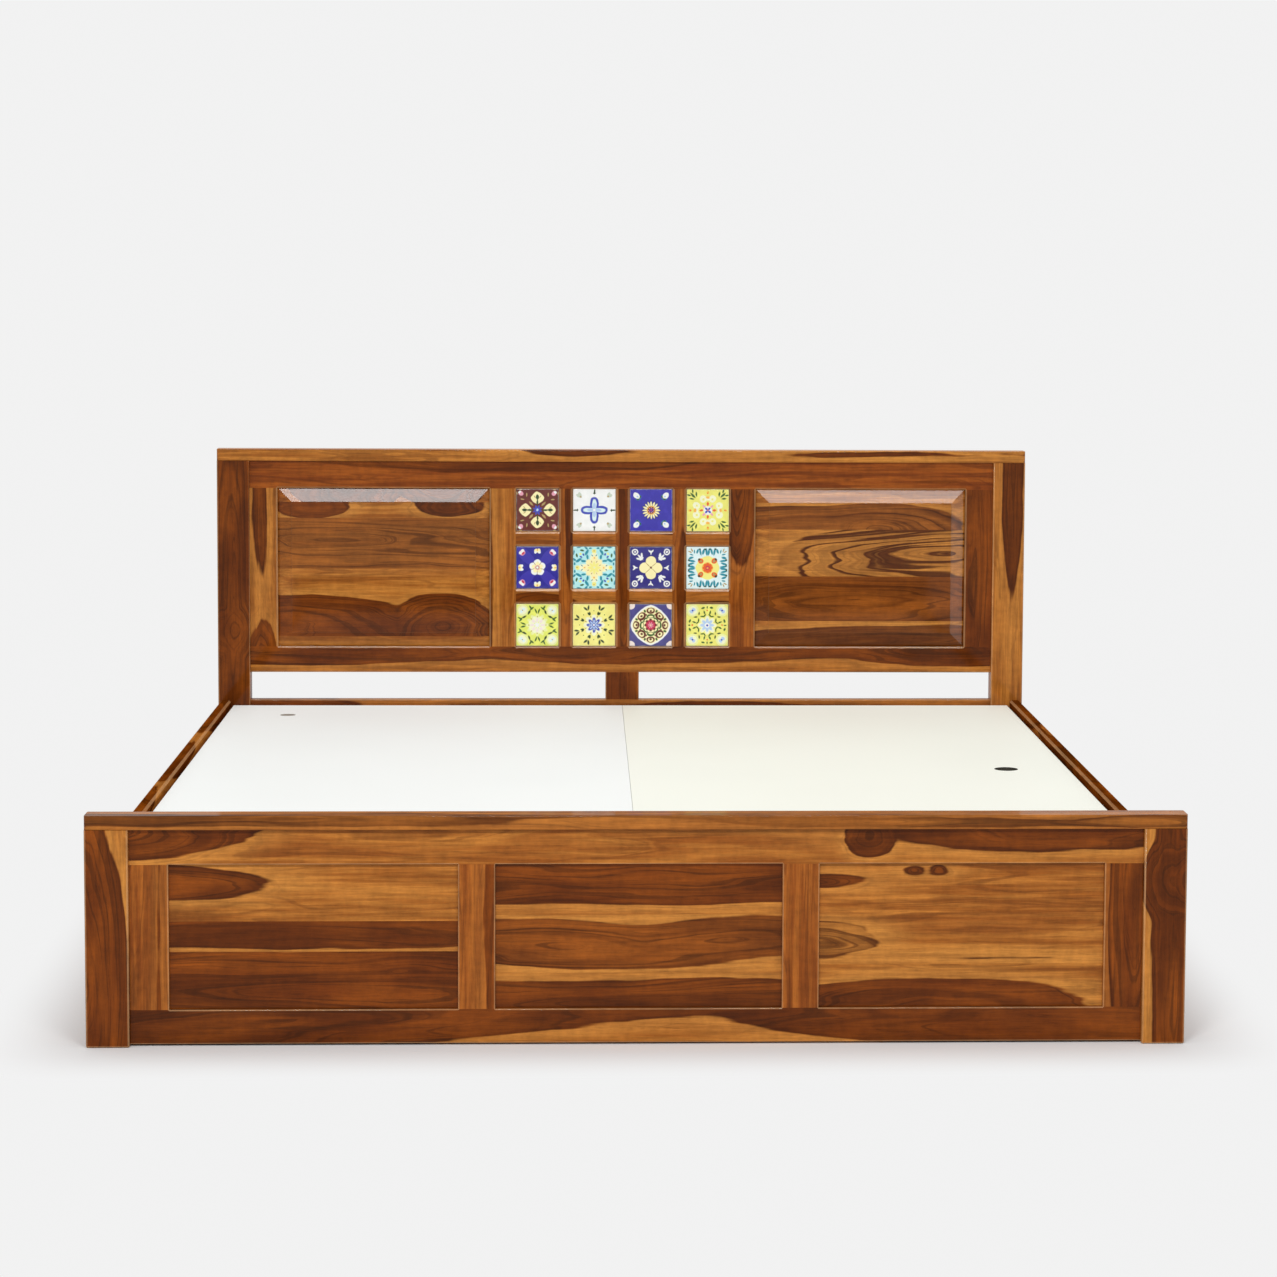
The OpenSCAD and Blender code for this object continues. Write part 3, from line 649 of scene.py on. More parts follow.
class Painting(Finish):
    """A tile being painted: its middle is 0, its edges are 1, and each stroke covers the last."""

    def __init__(self, name, centre, half, ground):
        super().__init__(name)
        place = self.object_point()
        seed = centre.x * 70 + centre.z * 30
        hand = self.add("ShaderNodeTexNoise", {"noise_dimensions": "4D"},
                        {"Vector": place, "W": seed, "Scale": 85.0, "Detail": 2.0}, output="Color")
        slip_x, _, slip_z = self.parts(hand)
        x, _, z = self.parts(place)
        self.x = (x - centre.x) / half + (slip_x - 0.5) * hand_slip
        self.z = (z - centre.z) / half + (slip_z - 0.5) * hand_slip
        self.radius = (self.x * self.x + self.z * self.z).math("SQRT")
        self.angle = self.z.math("ARCTAN2", self.x)
        self.wash = self.noise(self.scaled(place, 60, 60, 60), 3.0)
        light = tuple(min(1, part * 1.35 + 0.01) for part in ground)
        self.colour = self.mix(self.step(self.wash, 0.42, 0.75) * 0.5, ground, light)
        self.folds = {}

    def fold(self, count, turn):
        """Brings every sector onto one, so that a stroke in it is repeated all round."""
        if (count, turn) not in self.folds:
            sector = math.tau / count
            turned = (self.angle - math.radians(turn)) / sector
            swing = (turned - (turned + 0.5).math("FLOOR")) * sector
            far, near = (self.radius * swing.math(part) for part in ("COSINE", "SINE"))
            self.folds[count, turn] = (far, abs(near))
        return self.folds[count, turn]

    def stroke(self, colour, count, turn, out, aside, length, width, tilt=0.0, power=2.0):
        """One oval touch of the brush, so far out and aside, in each of a number of sectors."""
        far, near = self.fold(count, turn)
        far = far - out
        near = near - aside if aside else near
        cosine, sine = math.cos(math.radians(tilt)), math.sin(math.radians(tilt))
        if tilt:
            far, near = far * cosine + near * sine, near * cosine - far * sine
        reach = abs(far / length).math("POWER", power) + abs(near / width).math("POWER", power)
        soft = min(0.6, brush_bleed / min(length, width) * power / 2)
        self.colour = self.mix(self.step(reach, 1 + soft, 1 - soft), self.colour, colour)

    def glazed(self):
        edge = abs(self.x).math("MAXIMUM", abs(self.z))
        # A narrow rim round the tile's edge is made paler
        pale_rim = self.step(edge, *pale_rim_span) * 0.45
        colour = self.mix(pale_rim, self.colour, pale_rim_tone)
        return self.shine(colour, 0.10 + self.wash * 0.10, self.wash, glaze_height)


def glaze(red, green, blue):
    """A glaze colour as it is seen, turned into the light it gives back."""
    return tuple((((part / 255) + 0.055) / 1.055) ** 2.4 for part in (red, green, blue))


white = glaze(238, 240, 238)
cream = glaze(246, 236, 178)
butter = glaze(240, 232, 134)
lemon = glaze(232, 228, 116)
lime = glaze(222, 230, 104)
primrose = glaze(232, 238, 162)
blush = glaze(240, 226, 220)
milk = glaze(240, 242, 205)
sage = glaze(196, 208, 190)
aqua = glaze(176, 230, 232)
ice = glaze(216, 238, 240)
teal = glaze(28, 138, 158)
sky = glaze(178, 204, 236)
cobalt = glaze(60, 72, 178)
violet = glaze(55, 48, 162)
ink = glaze(34, 30, 140)
navy = glaze(44, 40, 122)
slate = glaze(72, 68, 132)
maroon = glaze(98, 38, 30)
rose = glaze(196, 52, 84)
pink = glaze(228, 160, 178)
orange = glaze(226, 96, 44)
gold = glaze(240, 178, 70)
leaf = glaze(58, 96, 40)
moss = glaze(44, 66, 36)
tan = glaze(176, 150, 96)


def dot(colour, radius):
    """A round touch in the middle of a tile."""
    return (colour, 1, 0, 0, 0, radius, radius)


# Strokes: colour, sectors, turn, out, aside, length, width, tilt, roundness
paintings = {
    "tile_a1": (maroon, [
        (tan, 4, 45, 0.86, 0.15, 0.09, 0.03, 40), (tan, 4, 45, 1.24, 0.12, 0.07, 0.03, -40),
        (tan, 4, 45, 0.42, 0, 0.13, 0.05, 0, 1.4), (cream, 4, 0, 0.57, 0, 0.29, 0.31, 0, 1.45),
        (moss, 4, 0, 0.36, 0, 0.16, 0.045, 0, 1.5), (moss, 4, 0, 0.60, 0, 0.13, 0.075, 0, 1.6),
        (tan, 4, 0, 0.62, 0.13, 0.07, 0.02, 30), (cobalt, 8, 22.5, 0.12, 0, 0.11, 0.045), dot(sky, 0.06),
        (pink, 4, 45, 1.10, 0, 0.12, 0.10), (white, 4, 45, 1.18, 0.02, 0.05, 0.05)]),
    "tile_a2": (white, [
        (sage, 4, 45, 0.98, 0.03, 0.13, 0.07, 20), (tan, 4, 45, 0.90, 0.02, 0.05, 0.02),
        (cobalt, 4, 0, 0.29, 0, 0.34, 0.20, 0, 2.4), (ice, 4, 0, 0.26, 0, 0.26, 0.10, 0, 2.4),
        (sky, 4, 0, 0.17, 0, 0.16, 0.07), dot(white, 0.06), (moss, 4, 0, 0.87, 0, 0.13, 0.035),
        (moss, 4, 0, 0.80, 0, 0.03, 0.07)]),
    "tile_a3": (violet, [
        (navy, 16, 0, 0.29, 0, 0.17, 0.07), (cream, 16, 0, 0.29, 0, 0.12, 0.042), dot(gold, 0.21),
        dot(maroon, 0.17), (pink, 8, 0, 0.12, 0, 0.03, 0.022), dot(violet, 0.08), dot(rose, 0.035),
        (teal, 4, 45, 0.84, 0.03, 0.09, 0.12), (moss, 4, 45, 0.82, 0.06, 0.05, 0.08),
        (white, 4, 45, 0.97, 0, 0.17, 0.13, 0, 1.7), (sky, 4, 45, 0.91, 0, 0.05, 0.04)]),
    "tile_a4": (lemon, [
        (milk, 8, 22.5, 0.58, 0, 0.17, 0.16), (milk, 4, 0, 0.55, 0, 0.10, 0.14),
        (gold, 4, 0, 0.84, 0, 0.07, 0.05), (orange, 4, 0, 0.80, 0.0, 0.03, 0.03),
        (gold, 4, 0, 0.60, 0, 0.06, 0.09), (lemon, 8, 22.5, 0.56, 0, 0.05, 0.05),
        (orange, 4, 0, 0.30, 0, 0.10, 0.055, 0, 1.5), (pink, 4, 45, 0.26, 0, 0.09, 0.05),
        dot(white, 0.20), (cobalt, 4, 45, 0.10, 0, 0.08, 0.05), dot(orange, 0.035),
        (leaf, 4, 45, 1.00, 0, 0.17, 0.05, 0, 1.6), (leaf, 4, 45, 0.92, 0.15, 0.12, 0.045, 35, 1.6),
        (leaf, 4, 45, 1.14, 0.13, 0.10, 0.04, 40, 1.6)]),
    "tile_b1": (ink, [
        (violet, 4, 45, 0.75, 0, 0.55, 0.25), (white, 5, 90, 0.22, 0, 0.17, 0.165),
        (cream, 5, 90, 0.16, 0, 0.12, 0.10), (tan, 5, 126, 0.24, 0, 0.10, 0.016), dot(pink, 0.12),
        dot(tan, 0.085), dot(white, 0.055), (cream, 4, 0, 0.80, 0.05, 0.10, 0.10),
        (white, 4, 0, 0.72, 0.09, 0.06, 0.06), (gold, 4, 0, 0.84, 0, 0.05, 0.035),
        (pink, 4, 45, 1.00, 0, 0.13, 0.15), (white, 4, 45, 1.05, 0.07, 0.07, 0.08),
        (rose, 4, 45, 0.95, 0.03, 0.05, 0.05)]),
    "tile_b2": (aqua, [
        (milk, 4, 0, 0.40, 0, 0.34, 0.19), (cream, 4, 0, 0.30, 0, 0.28, 0.15),
        (cream, 4, 45, 0.27, 0, 0.24, 0.15), (butter, 8, 0, 0.17, 0, 0.13, 0.06),
        (tan, 8, 22.5, 0.30, 0, 0.05, 0.02), (gold, 4, 0, 0.46, 0, 0.04, 0.035),
        (teal, 4, 0, 0.58, 0.10, 0.05, 0.025, 40), (butter, 4, 0, 0.78, 0, 0.10, 0.11),
        (tan, 4, 0, 0.80, 0, 0.03, 0.03), (teal, 4, 0, 0.92, 0.18, 0.04, 0.07),
        (teal, 4, 45, 0.58, 0.13, 0.12, 0.055, 40), (teal, 4, 45, 0.76, 0.27, 0.16, 0.060, 75),
        (teal, 4, 45, 0.94, 0.40, 0.11, 0.050, 10), (leaf, 4, 45, 0.98, 0.17, 0.10, 0.045, -35),
        (teal, 4, 45, 1.18, 0.20, 0.13, 0.045, -60), (cobalt, 4, 45, 0.80, 0.08, 0.06, 0.04, 20),
        (butter, 4, 45, 0.92, 0, 0.05, 0.06)]),
    "tile_b3": (navy, [
        (cream, 4, 0, 0.28, 0, 0.26, 0.245), (tan, 4, 45, 0.20, 0, 0.17, 0.014), dot(maroon, 0.05),
        (white, 4, 0, 0.72, 0, 0.10, 0.03), (white, 4, 0, 0.78, 0.06, 0.08, 0.032, 40),
        (white, 4, 45, 0.70, 0, 0.17, 0.045), (white, 4, 45, 0.72, 0.11, 0.11, 0.05, 35),
        (white, 4, 45, 0.60, 0.06, 0.06, 0.035, 60), (white, 4, 45, 1.06, 0, 0.15, 0.15),
        (slate, 4, 45, 1.06, 0, 0.09, 0.09), (white, 4, 45, 1.06, 0, 0.045, 0.045)]),
    "tile_b4": (ice, [
        (teal, 4, 0, 0.75, 0.05, 0.17, 0.052, 8), (teal, 4, 0, 0.77, 0.19, 0.15, 0.052, -16),
        (teal, 4, 0, 0.75, 0.33, 0.17, 0.052, 10), (teal, 4, 0, 0.78, 0.47, 0.12, 0.052, -18),
        (moss, 4, 0, 0.88, 0.11, 0.04, 0.05), (moss, 4, 0, 0.88, 0.37, 0.04, 0.05),
        (teal, 4, 45, 0.98, 0.10, 0.09, 0.03, 35), (tan, 4, 45, 1.12, 0.06, 0.09, 0.03, 20),
        (butter, 4, 0, 0, 0, 0.50, 0.50, 0, 3.2), (butter, 4, 0, 0.46, 0, 0.10, 0.20),
        (orange, 4, 45, 0.46, 0, 0.14, 0.12), (moss, 4, 45, 0.56, 0, 0.05, 0.06),
        (tan, 4, 45, 0.44, 0, 0.06, 0.05), dot(gold, 0.26), (orange, 8, 0, 0.12, 0, 0.12, 0.085),
        dot(rose, 0.09), dot(gold, 0.04)]),
    "tile_c1": (lime, [
        (primrose, 12, 0, 0.32, 0, 0.22, 0.10), (milk, 8, 22.5, 0.24, 0, 0.18, 0.12),
        (blush, 8, 0, 0.24, 0, 0.11, 0.06), (tan, 8, 0, 0.40, 0, 0.035, 0.02), dot(white, 0.15),
        (primrose, 8, 22.5, 0.13, 0, 0.05, 0.03), (primrose, 4, 45, 0.98, 0, 0.27, 0.27),
        (milk, 4, 45, 0.98, 0, 0.19, 0.20), (ice, 4, 45, 0.98, 0.07, 0.07, 0.07),
        (tan, 4, 45, 0.98, 0, 0.03, 0.03), (leaf, 4, 0, 0.66, 0.07, 0.13, 0.04, 20, 1.6),
        (leaf, 4, 0, 0.78, 0.26, 0.12, 0.045, -50, 1.6), (moss, 4, 45, 0.70, 0.16, 0.12, 0.05, 70, 1.6),
        (leaf, 4, 45, 0.82, 0.36, 0.10, 0.04, 20, 1.6)]),
    "tile_c2": (butter, [
        (milk, 8, 0, 0.30, 0, 0.20, 0.13), (cobalt, 8, 0, 0.22, 0, 0.14, 0.075),
        (sky, 8, 0, 0.18, 0, 0.08, 0.032), dot(sky, 0.13), dot(cobalt, 0.09), dot(white, 0.05),
        (tan, 8, 22.5, 0.42, 0, 0.05, 0.02), (moss, 8, 22.5, 0.58, 0.02, 0.09, 0.05, 20, 1.7),
        (moss, 8, 22.5, 0.86, 0.07, 0.12, 0.05, 25, 1.7), (leaf, 8, 0, 0.68, 0, 0.03, 0.02)]),
    "tile_c3": (slate, [
        (white, 4, 0, 0, 0, 0.95, 0.95, 0, 1.5), (cream, 4, 0, 0, 0, 0.87, 0.87, 0, 1.5),
        (maroon, 4, 45, 0.59, 0, 0.17, 0.22), (cream, 4, 45, 0.62, 0, 0.10, 0.13),
        (maroon, 4, 45, 0.60, 0, 0.05, 0.06), (leaf, 4, 45, 0.36, 0, 0.07, 0.15),
        (cream, 4, 45, 0.33, 0, 0.035, 0.08), (maroon, 4, 0, 0.68, 0, 0.15, 0.20),
        (cream, 4, 0, 0.70, 0, 0.095, 0.12), (maroon, 4, 0, 0.66, 0, 0.05, 0.06),
        (leaf, 4, 0, 0.42, 0, 0.10, 0.19), (cream, 4, 0, 0.39, 0, 0.045, 0.11),
        (maroon, 8, 22.5, 0.53, 0, 0.04, 0.03), (leaf, 8, 22.5, 0.72, 0, 0.07, 0.05),
        (maroon, 8, 0, 0.23, 0, 0.07, 0.07), (rose, 8, 22.5, 0.14, 0, 0.11, 0.07),
        (pink, 8, 22.5, 0.09, 0, 0.05, 0.02), (blush, 4, 45, 1.30, 0, 0.16, 0.19)]),
    "tile_c4": (lemon, [
        (milk, 8, 0, 0.26, 0, 0.18, 0.11), (sky, 8, 0, 0.18, 0, 0.14, 0.07), dot(white, 0.12),
        dot(cobalt, 0.055), (primrose, 4, 45, 0.98, 0, 0.28, 0.29), (milk, 4, 45, 0.98, 0, 0.20, 0.20),
        (sky, 4, 45, 0.98, 0.08, 0.09, 0.07), (cobalt, 4, 45, 0.98, 0, 0.05, 0.04),
        (leaf, 8, 22.5, 0.46, 0.05, 0.11, 0.035, 65, 1.6), (leaf, 4, 0, 0.60, 0.13, 0.10, 0.04, 20, 1.6),
        (leaf, 4, 0, 0.82, 0.20, 0.05, 0.09, 15, 1.6), (orange, 4, 0, 0.70, 0, 0.04, 0.035),
        (leaf, 4, 0, 0.84, 0, 0.06, 0.03), (moss, 4, 45, 0.66, 0.12, 0.09, 0.035, 50, 1.6)]),
}
tile_edge = 0.0016
tile_crown = 0.0007
tile_tree = fired_tile()
for node, (ground, strokes) in paintings.items():
    low, high = (Vector(corner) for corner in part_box(node))
    middle = (low + high) / 2
    half = (high - low) / 2
    painted = Painting("painted_" + node, middle, half.x, ground)
    for stroke in strokes:
        painted.stroke(*stroke)
    tile = made_by(tile_tree, node + "_glazed", {
        "Centre": middle, "Half side": half.x, "Half thickness": half.y, "Edge radius": tile_edge,
        "Crown": tile_crown, "Seed": middle.x * 90 + middle.z * 40, "Material": painted.glazed()})
    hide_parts(node)
    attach(tile, "root")

# The low frame of the headboard: the short post in the middle of the gap, the rail
# behind the deck, the bottom rail and three stiles, tenoned and glued like the rest.
dressed("head_centre_post", UPRIGHT, [(None, 0.4, 0.65, [(10, 350, 300, 60)])])
dressed("head_deck_rail", LEVEL, [(None, 0.5, 0.6, [(-900, 312, 240, 30), (300, 300, 500, 14)])],
        ["head_base_stiles", "head_centre_post"])
dressed("head_base_rail", LEVEL, [(None, 0.5, 0.7, [(-300, 40, 900, 40)])], ["head_base_stiles"])
dressed("head_base_stiles", UPRIGHT, [(None, 0.4, 0.6, [(0, 160, 300, 20), (870, 200, 300, 20)])])

# The footboard: posts, cap, rails and stiles joined as in the headboard, but lower,
# round three flat panels of planks glued edge to edge.
dressed("foot_post_left", UPRIGHT, [(None, 0.0, 0.6, [(-960, 100, 320, 72)])], radius=post_round)
dressed("foot_post_right", UPRIGHT, [(None, 0.0, 0.7, [(1000, 290, 110, 116), (950, 120, 700, 43)])],
        radius=post_round)
dressed("foot_cap", LEVEL, [(None, 0.5, 0.3, [
    (-800, 403, 560, 14), (700, 397, 640, 9), (-100, 410, 500, 6)])])
dressed("foot_top_rail", LEVEL, [(None, 0.05, 0.8, [
    (-930, 384, 250, 58), (405, 375, 48, 42), (760, 392, 420, 45)])], ["foot_stiles"])
dressed("foot_bottom_rail", LEVEL, [(None, 0.1, 0.85, [
    (-600, 47, 1000, 60, 4), (700, 50, 520, 56), (50, 82, 600, 24)])], ["foot_stiles"])
dressed("foot_stiles", UPRIGHT, [(None, 0.7, 0.7, [
    (-245, 180, 260, 29), (875, 260, 300, 50), (-838, 90, 120, 3)])])
dressed("foot_panel_left", LEVEL, [
    (0.2190, 0.0, 0.7, [(-850, 290, 178, 30)]),
    (0.1650, 0.1, 0.62, [(-590, 204, 480, 34, -0.5)]),
    (None, 0.6, 0.52, [(-520, 100, 800, 66, -1.5), (-420, 130, 190, 42, 3)]),
])
dressed("foot_panel_centre", LEVEL, [
    (0.2296, 0.1, 0.75, [(0, 330, 1500, 80)]),
    (0.1260, 0.0, 0.45, [(-130, 176, 300, 44, -3), (160, 186, 330, 39, 3.5)]),
    (None, 0.0, 0.75, [(0, 75, 600, 42)]),
])
dressed("foot_panel_right", LEVEL, [
    (0.2320, 0.15, 0.85, [(317, 287, 52, 10), (484, 309, 9, 4), (528, 310, 9, 4.5)]),
    (0.1400, 0.0, 0.12, [(318, 184, 104, 32), (640, 150, 260, 4)]),
    (None, 0.0, 0.7, [(520, 62, 300, 55)]),
])

# The sides: rails, stiles and flat panels, tenoned into the posts. They cover the storage
# boxes, and their top rails have lost some gloss where the mattress rubs.
rubbed_sheesham = lacquered_sheesham("rubbed_sheesham", 0.0)
side_bevel = 0.0045
top_hearts = {
    "left": [(-560, 326, 330, 32), (130, 322, 300, 26), (820, 325, 350, 32)],
    "right": [(-300, 318, 900, 34, 0.3), (900, 326, 400, 30)],
}
for side, redness in (("left", 0.35), ("right", 0.6)):
    stiles = ["side_stiles_" + side]
    bevelled("side_top_rail_" + side, SIDE_LEVEL, [(None, redness, 0.55, top_hearts[side])], stiles,
             width=side_bevel, finish=rubbed_sheesham)
    dressed("side_bottom_rail_" + side, SIDE_LEVEL, [(None, 0.3, 0.7, [
        (-600, 50, 700, 32), (700, 20, 520, 40)])], stiles)
    dressed("side_stiles_" + side, SIDE_UPRIGHT, [(None, 0.1, 0.65, [
        (-985, 200, 260, 20), (300, 120, 200, 18), (1000, 100, 220, 22)])])
    dressed("side_panels_" + side, SIDE_LEVEL, [
        (0.1900, 0.1, 0.7, [(-700, 250, 260, 40), (60, 225, 300, 22), (800, 262, 260, 46)]),
        (0.1250, 0.0, 0.3, [(-300, 150, 420, 24), (700, 160, 380, 26)]),
        (None, 0.3, 0.75, [(-500, 80, 700, 44), (650, 70, 420, 34)]),
    ])

# The supports under the deck and the storage floor: a bearer along the middle, cross
# bearers let into it, a runner on the floor and cleats, in the same timber.
dressed("centre_bearer", SIDE_LEVEL, [(None, 0.6, 0.5, [(0, 250, 1400, 20)])])
dressed("centre_runner", SIDE_LEVEL, [(None, 0.6, 0.6, [(200, 20, 1200, 16)])])
dressed("cross_bearers", LEVEL, [(None, 0.6, 0.5, [(-400, 270, 300, 16), (500, 255, 300, 20)])])
dressed("floor_cleats", SIDE_LEVEL, [(None, 0.6, 0.5, [(-300, 40, 900, 9)])])


# Plain plywood: the board behind the tiles, the low panels at the head, the ledges, the
# partition and the storage floors, sanded and left bare. The face grain runs the long way.
ply_light = (0.60, 0.42, 0.235)
ply_dark = (0.45, 0.285, 0.14)
ply_growth = (0.38, 0.225, 0.105)
ply_fibre = (0.36, 0.22, 0.11)
ply_glue = (0.30, 0.18, 0.09)


def sanded_plywood(name, along, through):
    ply = Finish(name)

    def drawn_out(axis, lengthwise, crosswise, *detail):
        factors = [lengthwise if i == axis else crosswise for i in range(3)]
        return ply.noise(ply.scaled(ply.object_point(), *factors), *detail)

    figure = drawn_out(along, 2.2, 34, 3.0, 0.6)
    growth = (drawn_out(along, 0.7, 4.5, 2.0) * 26 + figure).math("PINGPONG", 1)
    fibre = drawn_out(along, 14, 420, 2.0)
    layer = drawn_out(through, 480, 1, 0.0)
    tone = ply.mix(ply.step(figure, 0.35, 0.68), ply_light, ply_dark)
    tone = ply.mix(ply.step(growth, 0.45, 1.0) * 0.4, tone, ply_growth)
    tone = ply.mix(ply.step(fibre, 0.45, 0.75) * 0.35, tone, ply_fibre)
    tone = ply.mix(ply.step(layer, 0.50, 0.56) * 0.35, tone, ply_glue)
    return ply.shine(tone, 0.62 + (fibre - 0.5) * 0.2, fibre, 0.0002)


floor_ply = sanded_plywood("plywood_flat", 1, 2)
upright_ply = sanded_plywood("plywood_upright", 1, 0)
back_ply = sanded_plywood("plywood_back", 0, 1)
cross_ply = sanded_plywood("plywood_cross", 0, 2)
bare_boards = {
    "tile_backboard": back_ply, "head_base_panels": back_ply, "centre_partition": upright_ply,
    "storage_floor_left": floor_ply, "storage_floor_right": floor_ply}
for node, ply in bare_boards.items():
    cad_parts[node].data.materials.clear()
    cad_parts[node].data.materials.append(ply)

# The ledges: strips of the same plywood under all four edges of the deck, with their arrises
# taken off. The face grain runs along each strip.
ledge_bevel = 0.001
ledge_width = 0.03
shape = sawn("deck_ledges")
ease(shape, "deck_ledges", ledge_bevel, steps=1, shortest=0.01)
strips = made_board(shape, "ledge_strips", floor_ply, cross_ply)
cross_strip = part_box("head_post_right")[0][0] - ledge_width
for face in strips.data.polygons:
    face.material_index = abs(face.center.x) < cross_strip
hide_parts("deck_ledges")
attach(strips, "root")


# The deck boards: off-white faced board, loose on the ledges, each with a finger hole.
# The sawn edges are rounded a little.
def faced_board(name, tone):
    face = Finish(name)
    place = face.object_point()
    cloud = face.noise(face.scaled(place, 2.2, 1.6, 2.2), 2.0)
    tooth = face.noise(face.scaled(place, 700, 700, 700), 2.0)
    colour = face.mix(face.step(cloud, 0.3, 0.7) * 0.5, tone, tuple(c * 0.965 for c in tone))
    satin = {"Specular IOR Level": 0.12}
    return face.shine(colour, 0.55 + (tooth - 0.5) * 0.12, tooth, 0.00004, **satin)


def sawn_edge(name, layer, glue):
    """The edge of the board inside a finger hole, where its layers show, in tones that paint the light
    and shade in the hole.
    """
    edge = Finish(name)
    ply = edge.noise(edge.scaled(edge.object_point(), 6, 6, 520), 1.0)
    colour = edge.mix(edge.step(ply, 0.4, 0.6), layer, glue)
    return edge.shine(colour, 0.75, ply, 0.0002)


board_white = (0.90, 0.92, 0.90)
board_ivory = (0.91, 0.92, 0.83)
# The hole edges carry painted light and shade: pale on the left as if lit, near black on the right as
# painted shade inside the hole
lit_hole = sawn_edge("lit_hole_edge", (0.62, 0.55, 0.48), (0.45, 0.38, 0.32))
shaded_hole = sawn_edge("shaded_hole_edge", (0.060, 0.052, 0.036), (0.030, 0.026, 0.018))
seam = 0.0003
seam_play = 0.0015
deck_round = 0.0005
hole_margin = 0.01
for side, tone, hole_edge in (("left", board_white, lit_hole), ("right", board_ivory, shaded_hole)):
    node = "deck_panel_" + side
    low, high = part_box(node)
    shape = sawn(node)
    for vertex in shape.verts:
        if abs(vertex.co.x) < seam_play:
            vertex.co.x = math.copysign(seam, vertex.co.x)
    ease(shape, node, deck_round, shortest=0.001)
    board = made_board(shape, node + "_faced", faced_board("faced_board_" + side, tone), hole_edge)
    for face in board.data.polygons:
        inside = all(low[i] + hole_margin < face.center[i] < high[i] - hole_margin for i in (0, 1))
        face.material_index = inside and abs(face.normal.z) < 0.5
    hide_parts(node)
    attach(board, "deck_" + side)


# The corner brackets: four angles of bent steel plate, zinc plated, screwed to the end
# and side rails inside the corners of the frame.
def bright_zinc():
    zinc = Finish("bright_zinc")
    place = zinc.object_point()
    spangle = zinc.add("ShaderNodeTexVoronoi", inputs={"Vector": place, "Scale": 260.0},
                       output="Distance")
    blur = zinc.noise(zinc.scaled(place, 90, 90, 90), 2.0)
    colour = zinc.mix(zinc.step(spangle, 0.1, 0.7), (0.62, 0.64, 0.66), (0.48, 0.50, 0.53))
    return zinc.shine(colour, 0.30 + blur * 0.18, blur, 0.00005, Metallic=1.0)


zinc_plate = bright_zinc()
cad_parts["corner_brackets"].data.materials.clear()
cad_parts["corner_brackets"].data.materials.append(zinc_plate)


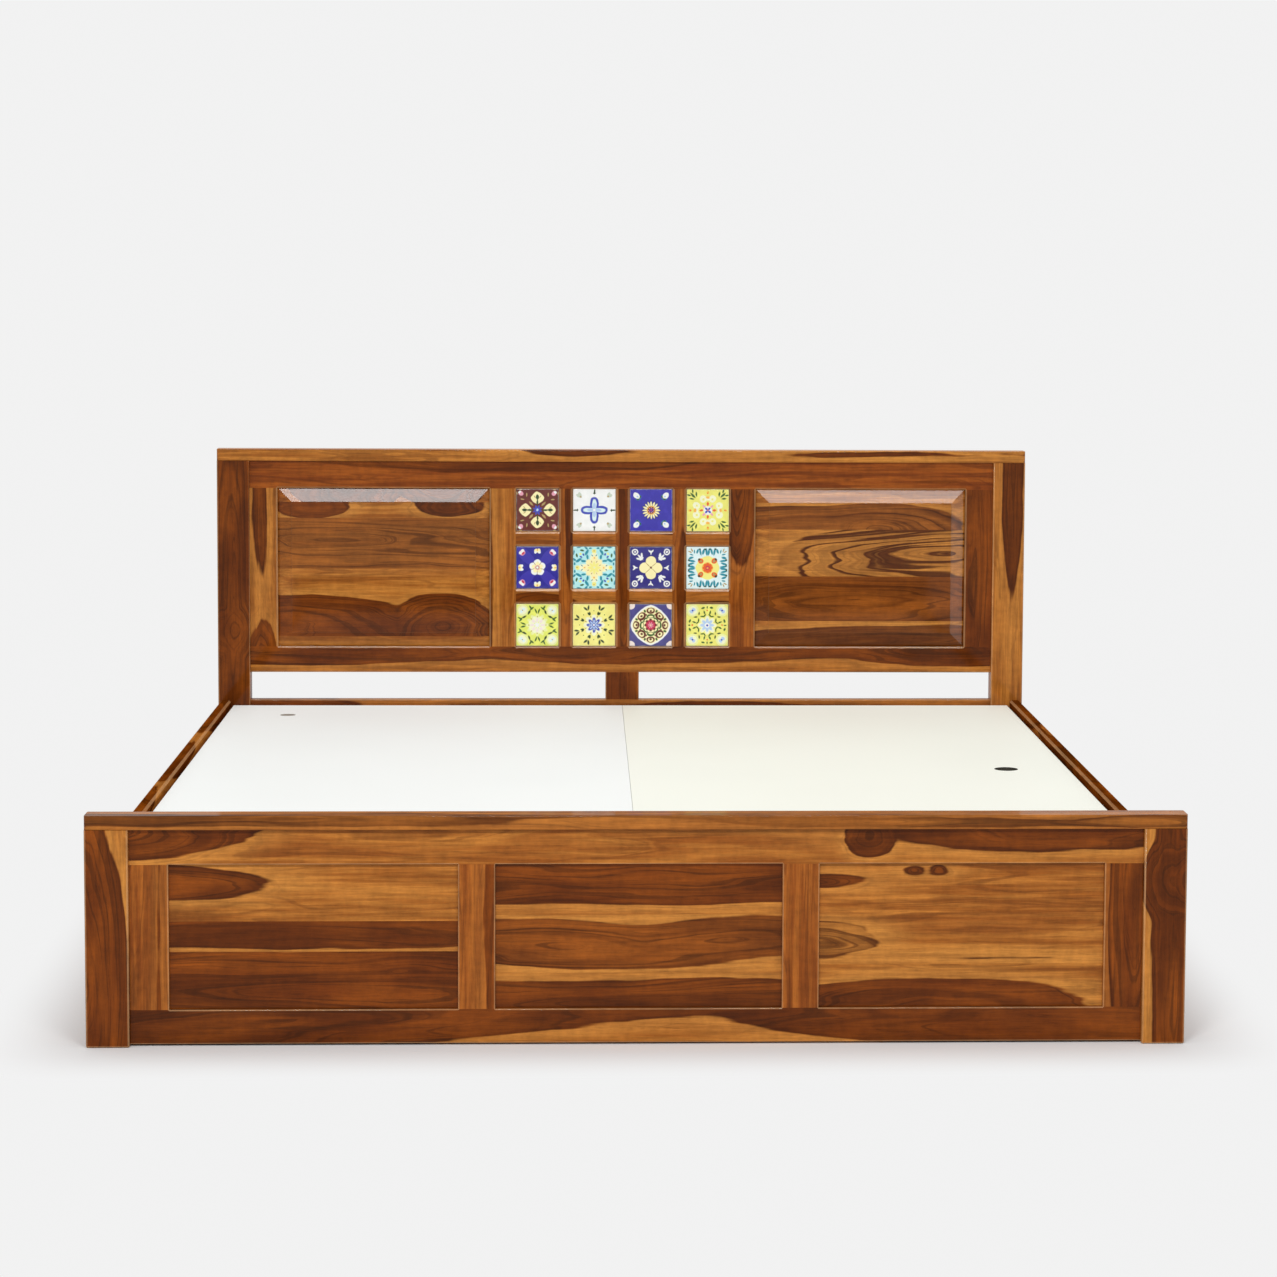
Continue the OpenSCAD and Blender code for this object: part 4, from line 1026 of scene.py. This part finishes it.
# The screws that hold the brackets and the ledges: thirty-two pan heads with a cross
# recess, in two lengths, zinc plated like the brackets.
def pan_head_screw():
    tree = tree_with("pan_head_screw", {
        "Places": "Geometry", "Shank length": "Float", "Shank width": "Float", "Head width": "Float",
        "Head height": "Float", "Slot width": "Float", "Material": "Material"})
    steel = Finish("pan_head_screw", tree)
    size = steel.sizes_given()
    head = steel.add("GeometryNodeMeshCone", inputs={
        "Vertices": 24, "Side Segments": 3, "Radius Top": size["Head width"] * 0.5,
        "Radius Bottom": size["Head width"] * 0.36, "Depth": size["Head height"]})
    down = steel.vector(0.0, 0.0, size["Head height"] * -1)
    head = steel.add("GeometryNodeTransform", inputs={"Geometry": head, "Translation": down})
    cross = []
    for long, short in ((0, 1), (1, 0)):
        sides = [None, None, size["Head height"] * 1.2]
        sides[long] = size["Head width"] * 0.55
        sides[short] = size["Slot width"]
        bar = steel.add("GeometryNodeMeshCube", inputs={"Size": steel.vector(*sides)})
        cross.append(steel.add("GeometryNodeTransform", inputs={"Geometry": bar, "Translation": down}))
    cut = steel.add("GeometryNodeMeshBoolean", {"operation": "DIFFERENCE", "solver": "EXACT"}, {0: head})
    for bar in cross:
        tree.links.new(bar.socket, cut.socket.node.inputs[1])
    shank = steel.add("GeometryNodeMeshCylinder", inputs={
        "Vertices": 16, "Radius": size["Shank width"] * 0.5, "Depth": size["Shank length"]})
    into = steel.vector(0.0, 0.0, size["Shank length"] * 0.5)
    shank = steel.add("GeometryNodeTransform", inputs={"Geometry": shank, "Translation": into})
    screw = steel.add("GeometryNodeJoinGeometry", inputs=[cut])
    tree.links.new(shank.socket, screw.socket.node.inputs[0])
    drive = steel.add("GeometryNodeInputNamedAttribute", {"data_type": "FLOAT_VECTOR"},
                      {"Name": "drive"})
    turned = steel.add("FunctionNodeAlignRotationToVector", {"axis": "Z"}, {"Vector": drive})
    points = steel.add("GeometryNodeMeshToPoints", inputs={"Mesh": size["Places"]})
    placed = steel.add("GeometryNodeInstanceOnPoints", inputs={
        "Points": points, "Instance": screw, "Rotation": turned})
    placed = steel.add("GeometryNodeRealizeInstances", inputs=[placed])
    placed = steel.add("GeometryNodeSetMaterial", inputs={
        "Geometry": placed, "Material": size["Material"]})
    steel.add("NodeGroupOutput", inputs=[placed])
    return tree


shank_width = 0.0048
shank_reach = 0.004
head_width = 0.010
head_height = 0.0025
slot_width = 0.0011
screw_tree = pan_head_screw()
seats = {}
screws = sawn("frame_screws")
for part in loose_parts(screws):
    low, high = (Vector([end(point[i] for point in part) for i in range(3)]) for end in (min, max))
    reach = high - low
    axis = max(range(3), key=lambda i: reach[i])
    middle = (low + high) / 2
    lengthwise = Vector([i == axis for i in range(3)])
    rim = [point for point in part
           if (point - middle - (point[axis] - middle[axis]) * lengthwise).length > shank_reach]
    heads_low = sum(point[axis] for point in rim) / len(rim) < middle[axis]
    drive = Vector([(1 if heads_low else -1) * (i == axis) for i in range(3)])
    seat = middle.copy()
    seat[axis] = low[axis] + head_height if heads_low else high[axis] - head_height
    seats.setdefault(round(reach[axis] - head_height, 4), []).append((seat, drive))
screws.free()
for number, (length, held) in enumerate(sorted(seats.items())):
    name = ("bracket_screws", "ledge_screws")[number]
    places = bpy.data.meshes.new(name + "_places")
    places.from_pydata([seat for seat, _ in held], [], [])
    drives = places.attributes.new("drive", "FLOAT_VECTOR", "POINT")
    drives.data.foreach_set("vector", [part for _, drive in held for part in drive])
    piece = made_by(screw_tree, name, {
        "Shank length": length, "Shank width": shank_width, "Head width": head_width,
        "Head height": head_height, "Slot width": slot_width, "Material": zinc_plate}, places)
    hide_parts("frame_screws")
    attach(piece, "root")
